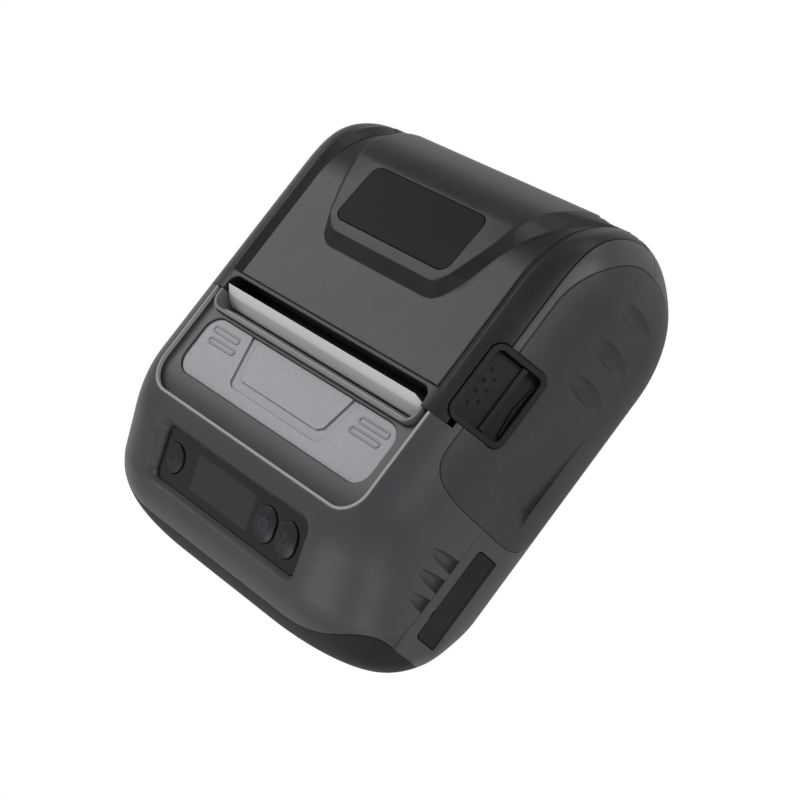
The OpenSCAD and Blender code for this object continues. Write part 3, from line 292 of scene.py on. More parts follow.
def caseOutline():
    n, low, top, front, back = case["arcSteps"], case["foot"], case["top"], case["front"], case["back"]
    middle, brow, tip, high = arcs["backMiddle"], arcs["browR"], arcs["noseMiddle"], arcs["noseHigh"]
    ridge = math.degrees(math.acos((arcs["ridge"] - high) / high))
    line = np.concatenate([
        bow(back - arcs["backLow"], middle, arcs["backLow"], middle - low, -90, 0, n),
        bow(back - arcs["backHigh"], middle, arcs["backHigh"], top - middle, 0, 90, n, 1),
        bow(arcs["browY"], top - brow, brow, brow, 90, 120, n // 2),
        bow(front + high, tip, high, arcs["noseRise"], ridge, 180, n),
        bow(front + arcs["noseLow"], tip, arcs["noseLow"], tip - low, 180, 270, n, 1),
    ])
    line[line[:, 2] < -90.01, 2] += 360
    return line


outline = caseOutline()


def blendList(values, lean):
    # values stand 45 degrees of lean apart, with a smooth change between them
    s = (lean + 90) / 45
    i = np.minimum(np.floor(s).astype(int), len(values) - 2)
    f = s - i
    v = np.array(values, float)
    return v[i] + (v[i + 1] - v[i]) * (1 - np.cos(np.pi * f)) / 2


def form(t):
    # the body, t inside its outer skin
    ribs = np.radians(90 - 90 * np.arange(case["ribSteps"] + 1) / case["ribSteps"])
    reach, depth = blendList(case["sideReach"], outline[:, 2]), blendList(case["sideDepth"], outline[:, 2])
    lean = np.radians(outline[:, 2])
    rows = []
    for side, turns in ((-1, ribs), (1, ribs[::-1])):
        s, c = np.sin(turns)[None, :], np.cos(turns)[None, :]
        x = side * (case["halfWidth"] - reach[:, None] + (reach[:, None] - t) * s)
        inward = depth[:, None] - (depth[:, None] - t) * c
        y = outline[:, 0:1] - inward * np.cos(lean)[:, None]
        z = outline[:, 1:2] - inward * np.sin(lean)[:, None]
        rows.append(np.stack([x, y, z], 2))
    grid = np.concatenate(rows, 1)
    n, m = grid.shape[:2]
    faces = [(i * m + j, i * m + j + 1, (i + 1) % n * m + j + 1, (i + 1) % n * m + j)
             for i in range(n) for j in range(m - 1)]
    faces += [tuple(i * m for i in range(n)), tuple(i * m + m - 1 for i in range(n))[::-1]]
    solid = newSolid(grid.reshape(-1, 3).tolist(), faces)
    work = bmesh.new()
    work.from_mesh(solid.data)
    ends = [face for face in work.faces if len(face.verts) > 4]
    bmesh.ops.triangulate(work, faces=ends, ngon_method="BEAUTY")
    work.to_mesh(solid.data)
    work.free()
    solid.data.flip_normals()
    return solid


def insideLine(t):
    lean = np.radians(outline[:, 2])
    line = np.stack([outline[:, 0] - t * np.cos(lean), outline[:, 1] - t * np.sin(lean)], 1)
    apart = np.hypot(*np.diff(outline[:, :2], axis=0).T) > 0.02
    return [tuple(p) for p, wide in zip(line, [True] + list(apart)) if wide]


def inside(t):
    return bar(insideLine(t), -far, far)


# Materials
def isSocket(value):
    return isinstance(value, bpy.types.NodeSocket)


def feed(target, value):
    # a socket is linked, anything else is set
    if isSocket(value):
        target.id_data.links.new(value, target)
    else:
        target.default_value = value


def setInputs(node, **values):
    # an underscore stands for a blank in the label
    for label, value in values.items():
        feed(node.inputs[label.replace("_", " ")], value)
    return node


def newNode(near, kind, **values):
    # a node in the tree of the node or socket near it
    return setInputs(near.id_data.nodes.new("ShaderNode" + kind), **values)


def nodeGroup(name, inputs, outputs):
    # a number makes a float socket, four numbers a colour, three or None a vector; an output
    # named Color is a colour, the others are floats; every group has Coordinates
    group = bpy.data.node_groups.new(name, "ShaderNodeTree")
    for label, value in {"Coordinates": None, **inputs}.items():
        kind = "Float" if isinstance(value, float) else "Color" if value and len(value) == 4 else "Vector"
        socket = group.interface.new_socket(name=label, in_out="INPUT", socket_type="NodeSocket" + kind)
        if value is not None:
            socket.default_value = value
    for label in outputs:
        kind = "Color" if label == "Color" else "Float"
        group.interface.new_socket(name=label, in_out="OUTPUT", socket_type="NodeSocket" + kind)
    return group, group.nodes.new("NodeGroupInput").outputs, group.nodes.new("NodeGroupOutput")


def mathNode(operation, first, second=None, clamp=False):
    node = newNode(first if isSocket(first) else second, "Math")
    node.operation, node.use_clamp = operation, clamp
    feed(node.inputs[0], first)
    if second is not None:
        feed(node.inputs[1], second)
    return node.outputs[0]


add, less, times = [partial(mathNode, step) for step in ("ADD", "SUBTRACT", "MULTIPLY")]


def vectorTimes(vector, factor, how="MULTIPLY"):
    node = newNode(vector, "VectorMath")
    node.operation = how
    feed(node.inputs[0], vector)
    feed(node.inputs["Scale" if how == "SCALE" else 1], factor)
    return node.outputs[0]


def mixColor(amount, first, second):
    node = newNode(amount, "Mix")
    node.data_type = "RGBA"
    for socket, value in ((0, amount), (6, first), (7, second)):
        feed(node.inputs[socket], value)
    return node.outputs[2]


def noise(vector, scale, detail, rough):
    node = newNode(vector, "TexNoise", Scale=scale, Detail=detail, Roughness=rough, Vector=vector)
    return node.outputs["Fac"]


def cells(vector, scale):
    return newNode(vector, "TexVoronoi", Scale=scale, Vector=vector).outputs["Distance"]


def axesOf(vector):
    return newNode(vector, "SeparateXYZ", Vector=vector).outputs


def makeGrainGroup():
    # spark-eroded mould texture: fine pits with softer, wider swells
    group, given, result = nodeGroup(
        "mouldGrain", {"Scale": 1.0, "Gloss Shift": 0.06, "Roughness": 0.5},
        ("Height", "Roughness"))
    scaled = vectorTimes(given["Coordinates"], given["Scale"], "SCALE")
    fine = noise(scaled, 5200, 2.0, 0.6)
    wide = noise(scaled, 1500, 2.0, 0.5)
    soft = noise(scaled, 60, 3.0, 0.5)
    pits = cells(scaled, 3600)
    mixed = add(times(fine, 0.6), times(pits, 0.5))
    height = add(mixed, times(wide, 0.35))
    drift = less(add(times(fine, 0.5), times(soft, 0.5)), 0.5)
    gloss = add(given["Roughness"], times(drift, given["Gloss Shift"]), True)
    setInputs(result, Height=height, Roughness=gloss)
    return group


def makeToneGroup():
    # slow drift of the tone plus a fine speckle, so that no surface is one flat colour
    group, given, result = nodeGroup(
        "toneDrift", {"Color": (0.5, 0.5, 0.5, 1), "Drift": 0.06, "Speckle": 0.05},
        ("Color",))
    slow = less(noise(given["Coordinates"], 28, 2.0, 0.5), 0.5)
    quick = less(noise(given["Coordinates"], 2600, 2.0, 0.6), 0.5)
    change = add(times(slow, given["Drift"]), times(quick, given["Speckle"]))
    gain = add(times(change, 2.0), 1.0)
    setInputs(result, Color=vectorTimes(given["Color"], gain, "SCALE"))
    return group


def makeWearGroup():
    # handling marks: faint dust in broad patches and hair-fine rubs
    group, given, result = nodeGroup(
        "handlingMarks",
        {"Color": (0.5, 0.5, 0.5, 1), "Dust": 0.05, "Dust Color": (0.55, 0.54, 0.52, 1)},
        ("Color", "Mask"))
    patches = noise(given["Coordinates"], 45, 5.0, 0.65)
    specks = noise(given["Coordinates"], 900, 3.0, 0.7)
    mask = times(less(patches, 0.45, True), times(specks, 4.0))
    amount = times(mask, given["Dust"], True)
    setInputs(result, Color=mixColor(amount, given["Color"], given["Dust Color"]), Mask=amount)
    return group


def makeBrushGroup():
    # drawn or brushed metal: long fine lines along one axis
    group, given, result = nodeGroup(
        "drawnLines", {"Stretch": (20, 900, 900), "Roughness": 0.3, "Spread": 0.2},
        ("Height", "Roughness"))
    stretched = vectorTimes(given["Coordinates"], given["Stretch"])
    lines = noise(stretched, 3.0, 4.0, 0.6)
    shift = times(less(lines, 0.5), given["Spread"])
    setInputs(result, Height=lines, Roughness=add(given["Roughness"], shift, True))
    return group


grainGroup, toneGroup = makeGrainGroup(), makeToneGroup()
wearGroup, brushGroup = makeWearGroup(), makeBrushGroup()


def useGroup(group, spot, **values):
    node = newNode(spot, "Group")
    node.node_tree = group
    return setInputs(node, Coordinates=spot, **values).outputs


paints = {}


def startMaterial(name, metallic=0.0, specular=0.5, coat=0.0, coatRoughness=0.1, bevel=0.0):
    paints[name] = bpy.data.materials.new(name)
    paints[name].use_nodes = True
    shader = setInputs(paints[name].node_tree.nodes["Principled BSDF"], Metallic=metallic,
                       Specular_IOR_Level=specular, Coat_Weight=coat, Coat_Roughness=coatRoughness)
    if bevel:
        node = newNode(shader, "Bevel", Radius=bevel)
        node.name, node.samples = "rounded", 6
    return shader, newNode(shader, "TexCoord").outputs["Object"]


def toned(spot, color, drift, speckle):
    return useGroup(toneGroup, spot, Color=(*color, 1), Drift=drift, Speckle=speckle)["Color"]


def grained(spot, roughness, scale=1.0, shift=0.06):
    skin = useGroup(grainGroup, spot, Scale=scale, Roughness=roughness, Gloss_Shift=shift)
    return skin["Roughness"], skin["Height"]


def finishMaterial(shader, color, roughness, height, strength, distance):
    nodes = shader.id_data.nodes
    bump = newNode(shader, "Bump", Strength=strength, Distance=distance, Height=height)
    if "rounded" in nodes:
        setInputs(bump, Normal=nodes["rounded"].outputs["Normal"])
    setInputs(shader, Base_Color=color, Roughness=roughness, Normal=bump.outputs["Normal"])


def mouldedPlastic(name, color, roughness, depth=0.35, drift=0.05, speckle=0.06, dust=0.04, **more):
    shader, spot = startMaterial(name, **more)
    worn = useGroup(wearGroup, spot, Color=toned(spot, color, drift, speckle), Dust=dust)["Color"]
    finishMaterial(shader, worn, *grained(spot, roughness), depth, 0.00006)


def drawnMetal(name, color, roughness, stretch=(20, 900, 900), spread=0.2, depth=0.15, drift=0.05):
    shader, spot = startMaterial(name, metallic=1.0)
    lines = useGroup(brushGroup, spot, Stretch=stretch, Roughness=roughness, Spread=spread)
    finishMaterial(shader, toned(spot, color, drift, 0.08), lines["Roughness"], lines["Height"],
                   depth, 0.00004)


plastics = {
    "caseSatin": {"color": (0.066, 0.066, 0.075), "roughness": 0.38, "bevel": 0.0004},
    "caseUnder": {"color": (0.066, 0.066, 0.075), "roughness": 0.38},
    "bumperRubber": {"color": (0.013, 0.013, 0.0135), "roughness": 0.62, "depth": 0.6, "specular": 0.35,
                     "bevel": 0.0004},
    "coverGrain": {"color": (0.010, 0.010, 0.0102), "roughness": 0.38, "depth": 0.45, "bevel": 0.0005},
    "insertGrain": {"color": (0.040, 0.040, 0.041), "roughness": 0.46, "depth": 0.45, "bevel": 0.0004},
    "trimPaint": {"color": (0.44, 0.44, 0.455), "roughness": 0.34, "depth": 0.2, "bevel": 0.0002},
    "bezelPaint": {"color": (0.16, 0.16, 0.17), "roughness": 0.40, "depth": 0.25, "bevel": 0.0003},
    "latchPlastic": {"color": (0.008, 0.0085, 0.012), "roughness": 0.46, "depth": 0.3, "specular": 0.28,
                     "bevel": 0.0003},
    "innerPlastic": {"color": (0.030, 0.030, 0.032), "roughness": 0.5, "depth": 0.4},
    "keyRubber": {"color": (0.014, 0.015, 0.018), "roughness": 0.36, "depth": 0.3, "bevel": 0.0003},
    "portRubber": {"color": (0.008, 0.008, 0.0085), "roughness": 0.60, "depth": 0.5, "specular": 0.35,
                   "bevel": 0.0003},
    "iconPrint": {"color": (0.040, 0.050, 0.066), "roughness": 0.45, "depth": 0.1},
    "gearAcetal": {"color": (0.72, 0.72, 0.68), "roughness": 0.38, "depth": 0.15},
    "coreBoard": {"color": (0.34, 0.22, 0.12), "roughness": 0.85, "depth": 0.8, "drift": 0.15},
    "headGlaze": {"color": (0.10, 0.035, 0.02), "roughness": 0.22, "depth": 0.08, "coat": 0.4},
    "packWrap": {"color": (0.02, 0.04, 0.10), "roughness": 0.28, "depth": 0.15, "coat": 0.3},
    "platenRubber": {"color": (0.02, 0.02, 0.02), "roughness": 0.7, "depth": 0.5},
}
metals = {
    "drawnSteel": {"color": (0.55, 0.56, 0.58), "roughness": 0.32},
    "motorCan": {"color": (0.48, 0.49, 0.51), "roughness": 0.36, "stretch": (40, 300, 300)},
    "milledAluminium": {"color": (0.66, 0.67, 0.69), "roughness": 0.34, "stretch": (900, 900, 30)},
    "springSteel": {"color": (0.50, 0.51, 0.54), "roughness": 0.25},
    "blackSteel": {"color": (0.025, 0.025, 0.028), "roughness": 0.45},
    "contactBrass": {"color": (0.62, 0.45, 0.16), "roughness": 0.28},
    "tinnedCan": {"color": (0.62, 0.63, 0.65), "roughness": 0.26, "stretch": (200, 200, 200)},
}
for name, look in plastics.items():
    mouldedPlastic(name, **look)
for name, look in metals.items():
    drawnMetal(name, **look)


def makePlatePaint():
    # metallic paint with fine flake under satin lacquer on the front plate; the flake's sparkle is painted
    # into the colour as lighter specks (painted glints)
    shader, spot = startMaterial("platePaint", metallic=0.25, coat=0.25, coatRoughness=0.25, bevel=0.0003)
    # painted glints: lighter specks mixed into the plate's colour
    paintedGlint = times(less(cells(spot, 4200), 0.35, True), 0.35)
    glintedPaintColor = mixColor(paintedGlint, toned(spot, (0.215, 0.215, 0.232), 0.05, 0.16), (0.62, 0.62, 0.66, 1))
    finishMaterial(shader, glintedPaintColor, *grained(spot, 0.38, 1.2), 0.25, 0.00005)


def makeLensGloss():
    # hard-coated black panel, a little greyer over the screen behind it
    screen = {"x": -0.0035, "halfWidth": 0.0125, "halfHeight": 0.0050, "edge": 4000}
    shader, spot = startMaterial("lensGloss", coat=0.6, coatRoughness=0.04, bevel=0.0004)
    local = newNode(spot, "Mapping", Vector=spot, Location=[v / 1000 for v in nose["lensAt"]],
                    Rotation=(math.radians(nose["tilt"]), 0, 0))
    local.vector_type = "TEXTURE"
    axes = axesOf(local.outputs["Vector"])
    across = mathNode("ABSOLUTE", less(axes["X"], screen["x"]))
    along = mathNode("ABSOLUTE", axes["Y"])
    maskX = times(less(screen["halfWidth"], across), screen["edge"], True)
    maskY = times(less(screen["halfHeight"], along), screen["edge"], True)
    color = mixColor(times(maskX, maskY), toned(spot, (0.006, 0.006, 0.007), 0.08, 0.02),
                     (0.030, 0.030, 0.034, 1))
    finishMaterial(shader, color, *grained(spot, 0.16, 0.6, 0.05), 0.04, 0.00003)


def makeSmokedWindow():
    shader, spot = startMaterial("smokedWindow", specular=0.12, bevel=0.0003)
    setInputs(shader, Alpha=0.96)
    finishMaterial(shader, toned(spot, (0.012, 0.012, 0.0125), 0.1, 0.03),
                   *grained(spot, 0.46, 0.8, 0.08), 0.1, 0.00003)


def makePaper(name, rings):
    # coated thermal paper; the roll's ends show its windings as fine rings
    shader, spot = startMaterial(name, specular=0.3)
    color, height = toned(spot, (0.86, 0.86, 0.85), 0.03, 0.03), noise(spot, 1800, 4.0, 0.7)
    if rings:
        axes = axesOf(spot)
        dy, dz = less(axes["Y"], roll["y"] / 1000), less(axes["Z"], roll["z"] / 1000)
        radius = mathNode("SQRT", add(times(dy, dy), times(dz, dz)))
        wave = mathNode("SINE", times(radius, 2 * math.pi / roll["winding"] * 1000))
        dark = times(add(wave, 1.0), 0.10)
        color, height = mixColor(dark, color, (0.45, 0.44, 0.42, 1)), add(height, wave)
    finishMaterial(shader, color, 0.62, height, 0.2, 0.00003)


def makeBoard():
    # solder mask with copper pours and lighter vias
    shader, spot = startMaterial("solderMask", coat=0.3, coatRoughness=0.15)
    lanes = newNode(spot, "TexBrick", Scale=160, Color1=(1, 1, 1, 1), Color2=(0.7, 0.7, 0.7, 1),
                    Mortar=(0, 0, 0, 1), Mortar_Size=0.05, Vector=spot)
    pours = lanes.outputs["Fac"]
    color = mixColor(times(pours, 0.5), toned(spot, (0.010, 0.075, 0.030), 0.1, 0.05),
                     (0.03, 0.16, 0.07, 1))
    finishMaterial(shader, color, 0.35, pours, 0.15, 0.00004)


makePlatePaint()
makeLensGloss()
makeSmokedWindow()
makePaper("paperSheet", False)
makePaper("paperWindings", True)
makeBoard()
print("materials made:", len(paints))

# CAD nodes that stay in view, by their finish
nodesOf = {
    "bezelPaint": ["paper_exit_bezel"],
    "drawnSteel": ["tear_bar", "hinge_pin", "case_screws", "head_frame"],
    "smokedWindow": ["cover_window"],
    "innerPlastic": ["cover_inner_frame", "key_switches", "dc_jack", "board_chips", "buzzer",
        "battery_latch", "paper_tray", "left_paper_guide", "right_paper_guide", "paper_sensor"],
    "latchPlastic": ["latch_bezel", "open_latch"],
    "blackSteel": ["latch_spring"],
    "lensGloss": ["display_lens", "oled_display"],
    "keyRubber": ["power_button", "settings_button", "feed_button"],
    "solderMask": ["key_board", "main_board"],
    "portRubber": ["port_cover"],
    "tinnedCan": ["usb_socket", "wireless_module"],
    "packWrap": ["battery_pack"],
    "contactBrass": ["battery_connector", "motor_pinion"],
    "caseUnder": ["battery_door"],
    "bumperRubber": ["rubber_feet"],
    "paperWindings": ["paper_roll"],
    "coreBoard": ["roll_core"],
    "springSteel": ["head_pivot_pin", "head_springs", "platen_shaft", "idler_stud", "motor_shaft"],
    "headGlaze": ["print_head"],
    "milledAluminium": ["heat_sink"],
    "platenRubber": ["platen_roller"],
    "gearAcetal": ["platen_bushes", "platen_gear", "idler_gear"],
    "motorCan": ["stepper_motor"],
}


def paint(thing, finish):
    thing.data.materials.clear()
    thing.data.materials.append(paints[finish])


for finish, nodes in nodesOf.items():
    for node in nodes:
        paint(frame["nodes"][node], finish)


def finishPiece(solid, name, finish, body, nodes=(), sharp=32):
    solid.name = name
    solid.data.name = name
    solid.data.transform(Matrix.Scale(0.001, 4))
    paint(solid, finish)
    solid.data.shade_smooth()
    solid.data.set_sharp_from_angle(angle=math.radians(sharp))
    even = solid.modifiers.new("evenNormals", "WEIGHTED_NORMAL")
    even.mode, even.weight, even.keep_sharp = "FACE_AREA_WITH_ANGLE", 50, True
    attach(solid, body)
    if nodes:
        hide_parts(*nodes)
    print("made", name, len(solid.data.polygons))


# Seats and cutters that several pieces share
def curl(v, power):
    return math.copysign(abs(v) ** (2 / power), v)


def insertProfile(grow):
    profile, steps, rise = [], insert["steps"], insert["rise"] + grow
    for k, (start, stop) in enumerate(((-90, 90), (90, 270))):
        y, run, power = insert["y"][1 - k], insert["run"][1 - k] + grow, insert["power"][1 - k]
        for i in range(steps + 1):
            a = math.radians(start + (stop - start) * i / steps)
            along, up = curl(math.cos(a), power), curl(math.sin(a), power)
            profile.append((y + run * along, insert["z"] + rise * up))
    keep = []
    for p in profile:
        if not keep or math.dist(p, keep[-1]) > 0.02:
            keep.append(p)
    return keep


def insertSeat(side):
    return onSide(cut(bar(insertProfile(case["gap"]), insert["innerX"], far), form(insert["thick"])), side)


def latchCut(gap, z0, z1):
    profile = roundRect(latch["length"] + 2 * gap, latch["width"] + 2 * gap, latch["round"] + gap)
    return placed(prism(profile, z0, z1), latchFrame)


def fluteCuts():
    cuts = []
    for y, tip in flute["spots"]:
        rise = tip - case["partLine"]
        line = [(0, 0)] + [(r, rise * s) for r, s in flute["shape"]] + [(0, rise)]
        place = tilted((flute["x"], y, case["partLine"]), flute["lean"], "Y")
        cuts += pair(lambda: placed(turned(line, 32), place))
    return cuts


def neckProfile():
    y, z, part = hinge["y"], hinge["z"], case["partLine"]
    inner, lip = case["back"] - case["wall"] + 0.6, part + 1.6
    return [(y - hinge["r"], part), (inner, part), (inner, lip), (y + 0.5, z), (y - hinge["r"], z)]


def hingeKnuckles():
    # both knuckles of the case and the necks that carry them
    span, r, y, z = hinge["knuckle"], hinge["r"], hinge["y"], hinge["z"]
    return pair(lambda: bar(neckProfile(), *span)) + pair(lambda: rod(*span, r, y, z))


def screwPosts(z0s, z1):
    return [post(screws["post"], z0, z1, side * x, y)
            for z0, (x, y) in zip(z0s, screws["spots"]) for side in (-1, 1)]


def roomOf(piece, grow, back, low, high=far, rounder=0):
    # room of a piece in plan view, grown to the sides and the front
    half, front = piece["half"] + grow, piece["front"] - grow
    return planPrism((-half, front), (half, back), piece["round"] + rounder, low, high)


def bumperZone(grow=0.0):
    # side view of the room the bumper takes, with a rounded top corner
    back, top, r = case["bumperEdge"] - 0.03 + grow, case["bumperTop"] + grow, case["bumperRound"]
    corner = circle(r, back - r, top - r, 12, 0, 90)
    return bar([(-far, -far), (back, -far)] + corner + [(-far, top)], -far, far)


def makeSkin():
    # both halves of the case in one, hollow, with the seats of the side inserts sunk in
    skin = combine(form(0), [insertSeat(1), insertSeat(-1)], "DIFFERENCE", "EXACT")
    print("seats cut")
    return cut(skin, form(case["wall"]))


def makeUpperCase():
    upper = {"apronFloor": 0.6, "floorRoom": ((-45, -36), (45, case["coverSeam"])), "postTop": 47,
             "slotBack": 9, "holeDeep": -9, "latchDeep": -3.15, "latchHole": (-1.5, -20)}
    part, y, z = case["partLine"], hinge["y"], hinge["z"]
    shell = keepIn(twin(bothCases), block((-far, -far, part), (far, far, far)))
    floor = keepIn(cut(inside(apron["depth"] - upper["apronFloor"]), inside(apron["depth"] + case["wall"])),
                   planPrism(*upper["floorRoom"], apron["round"], part, far))
    half, long, r = nose["lensHalf"], nose["lensLength"], nose["lensRound"]
    pad = roundRect(2 * half + nose["padGrow"], long + nose["padGrow"], nose["padRound"])
    join(shell, floor, placed(prism(pad, -nose["padUnder"], nose["padOver"]), lensFrame),
         *screwPosts((part, part), upper["postTop"]), *hingeKnuckles())
    # room for the cover and its barrel
    mouth = cut(block((-cover["mouth"], case["coverSeam"], z), (cover["mouth"], far, far)), *hingeKnuckles())
    low, high = z - hinge["r"] - 2 * hinge["gap"], z + 1
    inner, outer = hinge["knuckle"][0] - hinge["gap"], hinge["knuckle"][1] + hinge["gap"]
    strips = [block((-inner, y, low), (inner, far, high))]
    strips += pair(lambda: block((outer, y - 1.4, low), (cover["mouth"], far, high)))
    strips += pair(lambda: block((27, y + hinge["r"], low), (37, far, high)))
    cut(shell, mouth, *strips, rod(-37, 37, hinge["pin"], y, z))
    cut(shell, roomOf(slot, slot["rim"], slot["back"] + upper["slotBack"], part),
        cut(roomOf(apron, 0, far, part), inside(apron["depth"])),
        cut(roomOf(plate, 0, plate["back"], part), inside(plate["depth"] + plate["thick"])))
    # soft-edged dish round the display, its seat and its hole
    rings = []
    for i in range(nose["dishSteps"] + 1):
        s = i / nose["dishSteps"]
        grow = nose["dish"] * (0.25 * s + 0.75 * s ** 1.7)
        ring = roundRect(2 * half + 2 * grow, long + 1.75 * grow, r + grow)
        rings.append([(x, v, 0.02 + nose["dish"] * s) for x, v in ring])
    seat = prism(roundRect(2 * half, long, r), -nose["lensThick"], 1)
    hole = prism(roundRect(2 * half - 0.8, long - 2 * nose["ledge"], r), upper["holeDeep"], 0)
    cut(shell, *[placed(tool, lensFrame) for tool in (loft(rings), seat, hole)])
    narrow, deep = upper["latchHole"]
    cut(shell, latchCut(latch["fit"], upper["latchDeep"], far), latchCut(narrow, deep, far),
        bumperZone(case["gap"]))
    cut(shell, *fluteCuts())
    finishPiece(shell, "upperCaseShell", "caseSatin", "base", ["upper_case"])


def makeLowerCase():
    lower = {"screwFloor": (5.5, 9.5), "framePosts": (1.6, 24, 41.5, 4.9), "boardPost": (2.0, 19.2),
             "boardPosts": [(46, -14, 3.2), (46, -46, 6.8), (-26, -46, 5.2)],
             "ribsX": (-36, 36), "ribY": (20.5, 44.5), "ribTop": 17.5, "feet": (39, 29),
             "footWell": (4.05, -1, 2.0), "label": ((-24, 12), (24, 27)), "labelDeep": 0.4,
             "vent": (24, 25.2), "ventStep": 3.2}
    battery = {"x": (-29.0, 31.0), "y": (-34.0, 4.0), "rim": 1.4, "gap": 0.3, "wall": 1.2, "wallTop": 9.7,
               "doorDeep": 2.3, "top": 20, "catch": (-3.3, 5.3), "catchDeep": 1.9}
    port = {"x": 55.9, "size": (25.7, 8.9, 1.5), "at": (-33.85, 23.45), "holesX": 47.5,
            "corners": ((-46.7, 19.0), (-21.0, 20.5)), "jack": (4.2, -40, 24),
            "data": (10, 4.4, 1, -28, 23.1)}
    part, foot = case["partLine"] - case["gap"], case["foot"]
    floor = foot + case["wall"]
    shell = keepIn(twin(bothCases), block((-far, case["bumperEdge"], -far), (far, far, part)))
    r, top, x, y = lower["framePosts"]
    posts = screwPosts(lower["screwFloor"], part) + [post(r, floor - 1, top, s * x, y) for s in (-1, 1)]
    r, top = lower["boardPost"]
    posts += [post(r, low, top, x, y) for x, y, low in lower["boardPosts"]]
    (low, high), cradle = lower["ribY"], (roll["cradle"], roll["y"], roll["z"])
    ribs = [cut(block((x - 1, low, floor - 1), (x + 1, high, lower["ribTop"])), rod(-far, far, *cradle))
            for x in lower["ribsX"]]
    # battery bay, its walls, its door's seat and the catch
    (x0, x1), (y0, y1), rim, gap = battery["x"], battery["y"], battery["rim"], battery["gap"]

    def bay(grow, z0, z1):
        return block((x0 - grow, y0 - grow, z0), (x1 + grow, y1 + grow, z1))

    walls = cut(bay(gap + battery["wall"], floor - 0.5, battery["wallTop"]), bay(gap, 0, far))
    join(shell, *posts, *ribs, walls)
    left, right = battery["catch"]
    cut(shell, bay(rim + gap, -far, foot + battery["doorDeep"]), bay(gap, -far, battery["top"]),
        block((left, y1, -far), (right, y1 + rim + 1.5, foot + battery["catchDeep"])))
    (r, *run), (x, y) = lower["footWell"], lower["feet"]
    wells = [post(r, *run, sx * x, sy * y) for sx in (-1, 1) for sy in (-1, 1)]
    for side in (-1, 1):
        for x, y in screws["spots"]:
            wells += [post(screws["hole"], *screws["holeRun"], side * x, y),
                      post(screws["head"], *screws["headRun"], side * x, y)]
    cut(shell, *wells)
    # seat of the port cover; the flap's hinge end is square, so the seat has square lower corners
    (y0, z0), (y1, z1) = port["corners"]
    cut(shell, bar(roundRect(*port["size"], *port["at"]), port["x"], far),
        block((port["x"], y0, z0), (far, y1, z1)), rod(port["holesX"], far, *port["jack"]),
        bar(roundRect(*port["data"]), port["holesX"], far))
    cut(shell, *fluteCuts())
    # bare recess for a rating plate and a small vent over the buzzer
    x0, x1 = lower["vent"]
    shifts = [lower["ventStep"] * i for i in range(4)]
    vents = [planPrism((x0 + shift, -46), (x1 + shift, -39), 0.55, -1, 10) for shift in shifts]
    cut(shell, planPrism(*lower["label"], 2, -1, foot + lower["labelDeep"]), *vents)
    finishPiece(shell, "lowerCaseShell", "caseSatin", "base", ["lower_case"])


def makeBumper():
    shell = keepIn(cut(form(0), form(case["wall"])), bumperZone())
    finishPiece(shell, "noseBumper", "bumperRubber", "base", ["front_bumper"])


def makeInserts():
    groove = {"half": 13.5, "deep": 3.1, "x": 59.2, "lean": -3.4,
              "spots": [(45.3, 31.1), (34.3, 30.5), (24, 29.9)]}
    facet = {"plan": [(58.5, -10.3), (57.5, -10.3), (56.25, -6.6), (57.5, 17), (58.5, 17)], "z": (20.3, 40.5)}
    half, deep = groove["half"], groove["deep"]
    bowR = (half * half + deep * deep) / (2 * deep)
    spindle = [(0, -half)]
    for h in np.linspace(-half, half, 33)[1:-1]:
        spindle.append((max(0.0, deep - bowR + math.sqrt(bowR * bowR - h * h)), h))
    spindle.append((0, half))
    for side, word in ((1, "right"), (-1, "left")):
        skin = cut(form(0), form(insert["thick"]))
        combine(skin, [bar(insertProfile(0), insert["innerX"], far)], "INTERSECT", "EXACT")
        mouth = block((0, case["coverSeam"], hinge["z"]), (cover["mouth"], far, far))
        tools = [mouth] + [placed(turned(spindle, 64), tilted((groove["x"], y, z), groove["lean"], "Y"))
                           for y, z in groove["spots"]]
        tools.append(prism(facet["plan"], *facet["z"]))
        if side > 0:
            tools.append(latchCut(latch["fit"], -6, far))
        combine(skin, tools, "DIFFERENCE", "EXACT")
        finishPiece(onSide(skin, side), word + "SideInsert", "insertGrain", "base",
                    [word + "_side_insert"], sharp=10)


def apronProfile(inset):
    half, r, y0, y1 = apron["half"] - inset, apron["round"] - inset, apron["front"] + inset, case["coverSeam"]
    left = circle(r, -half + r, y0 + r, 16, 180, 270)
    right = circle(r, half - r, y0 + r, 16, 270, 360)
    return left + right + [(half, y1), (-half, y1)]


def makeTrim():
    trim = {"skin": (0.02, 1.2), "open": 5}
    skin = cut(*[form(t) for t in trim["skin"]])
    ring = prism(apronProfile(0), case["partLine"], far)
    inner = [(x, y if y < case["coverSeam"] - 0.01 else y + trim["open"])
             for x, y in apronProfile(apron["trim"])]
    cut(ring, prism(inner, case["partLine"] - 1, far + 1))
    keepIn(skin, ring)
    finishPiece(skin, "apronTrim", "trimPaint", "base", ["accent_trim"])


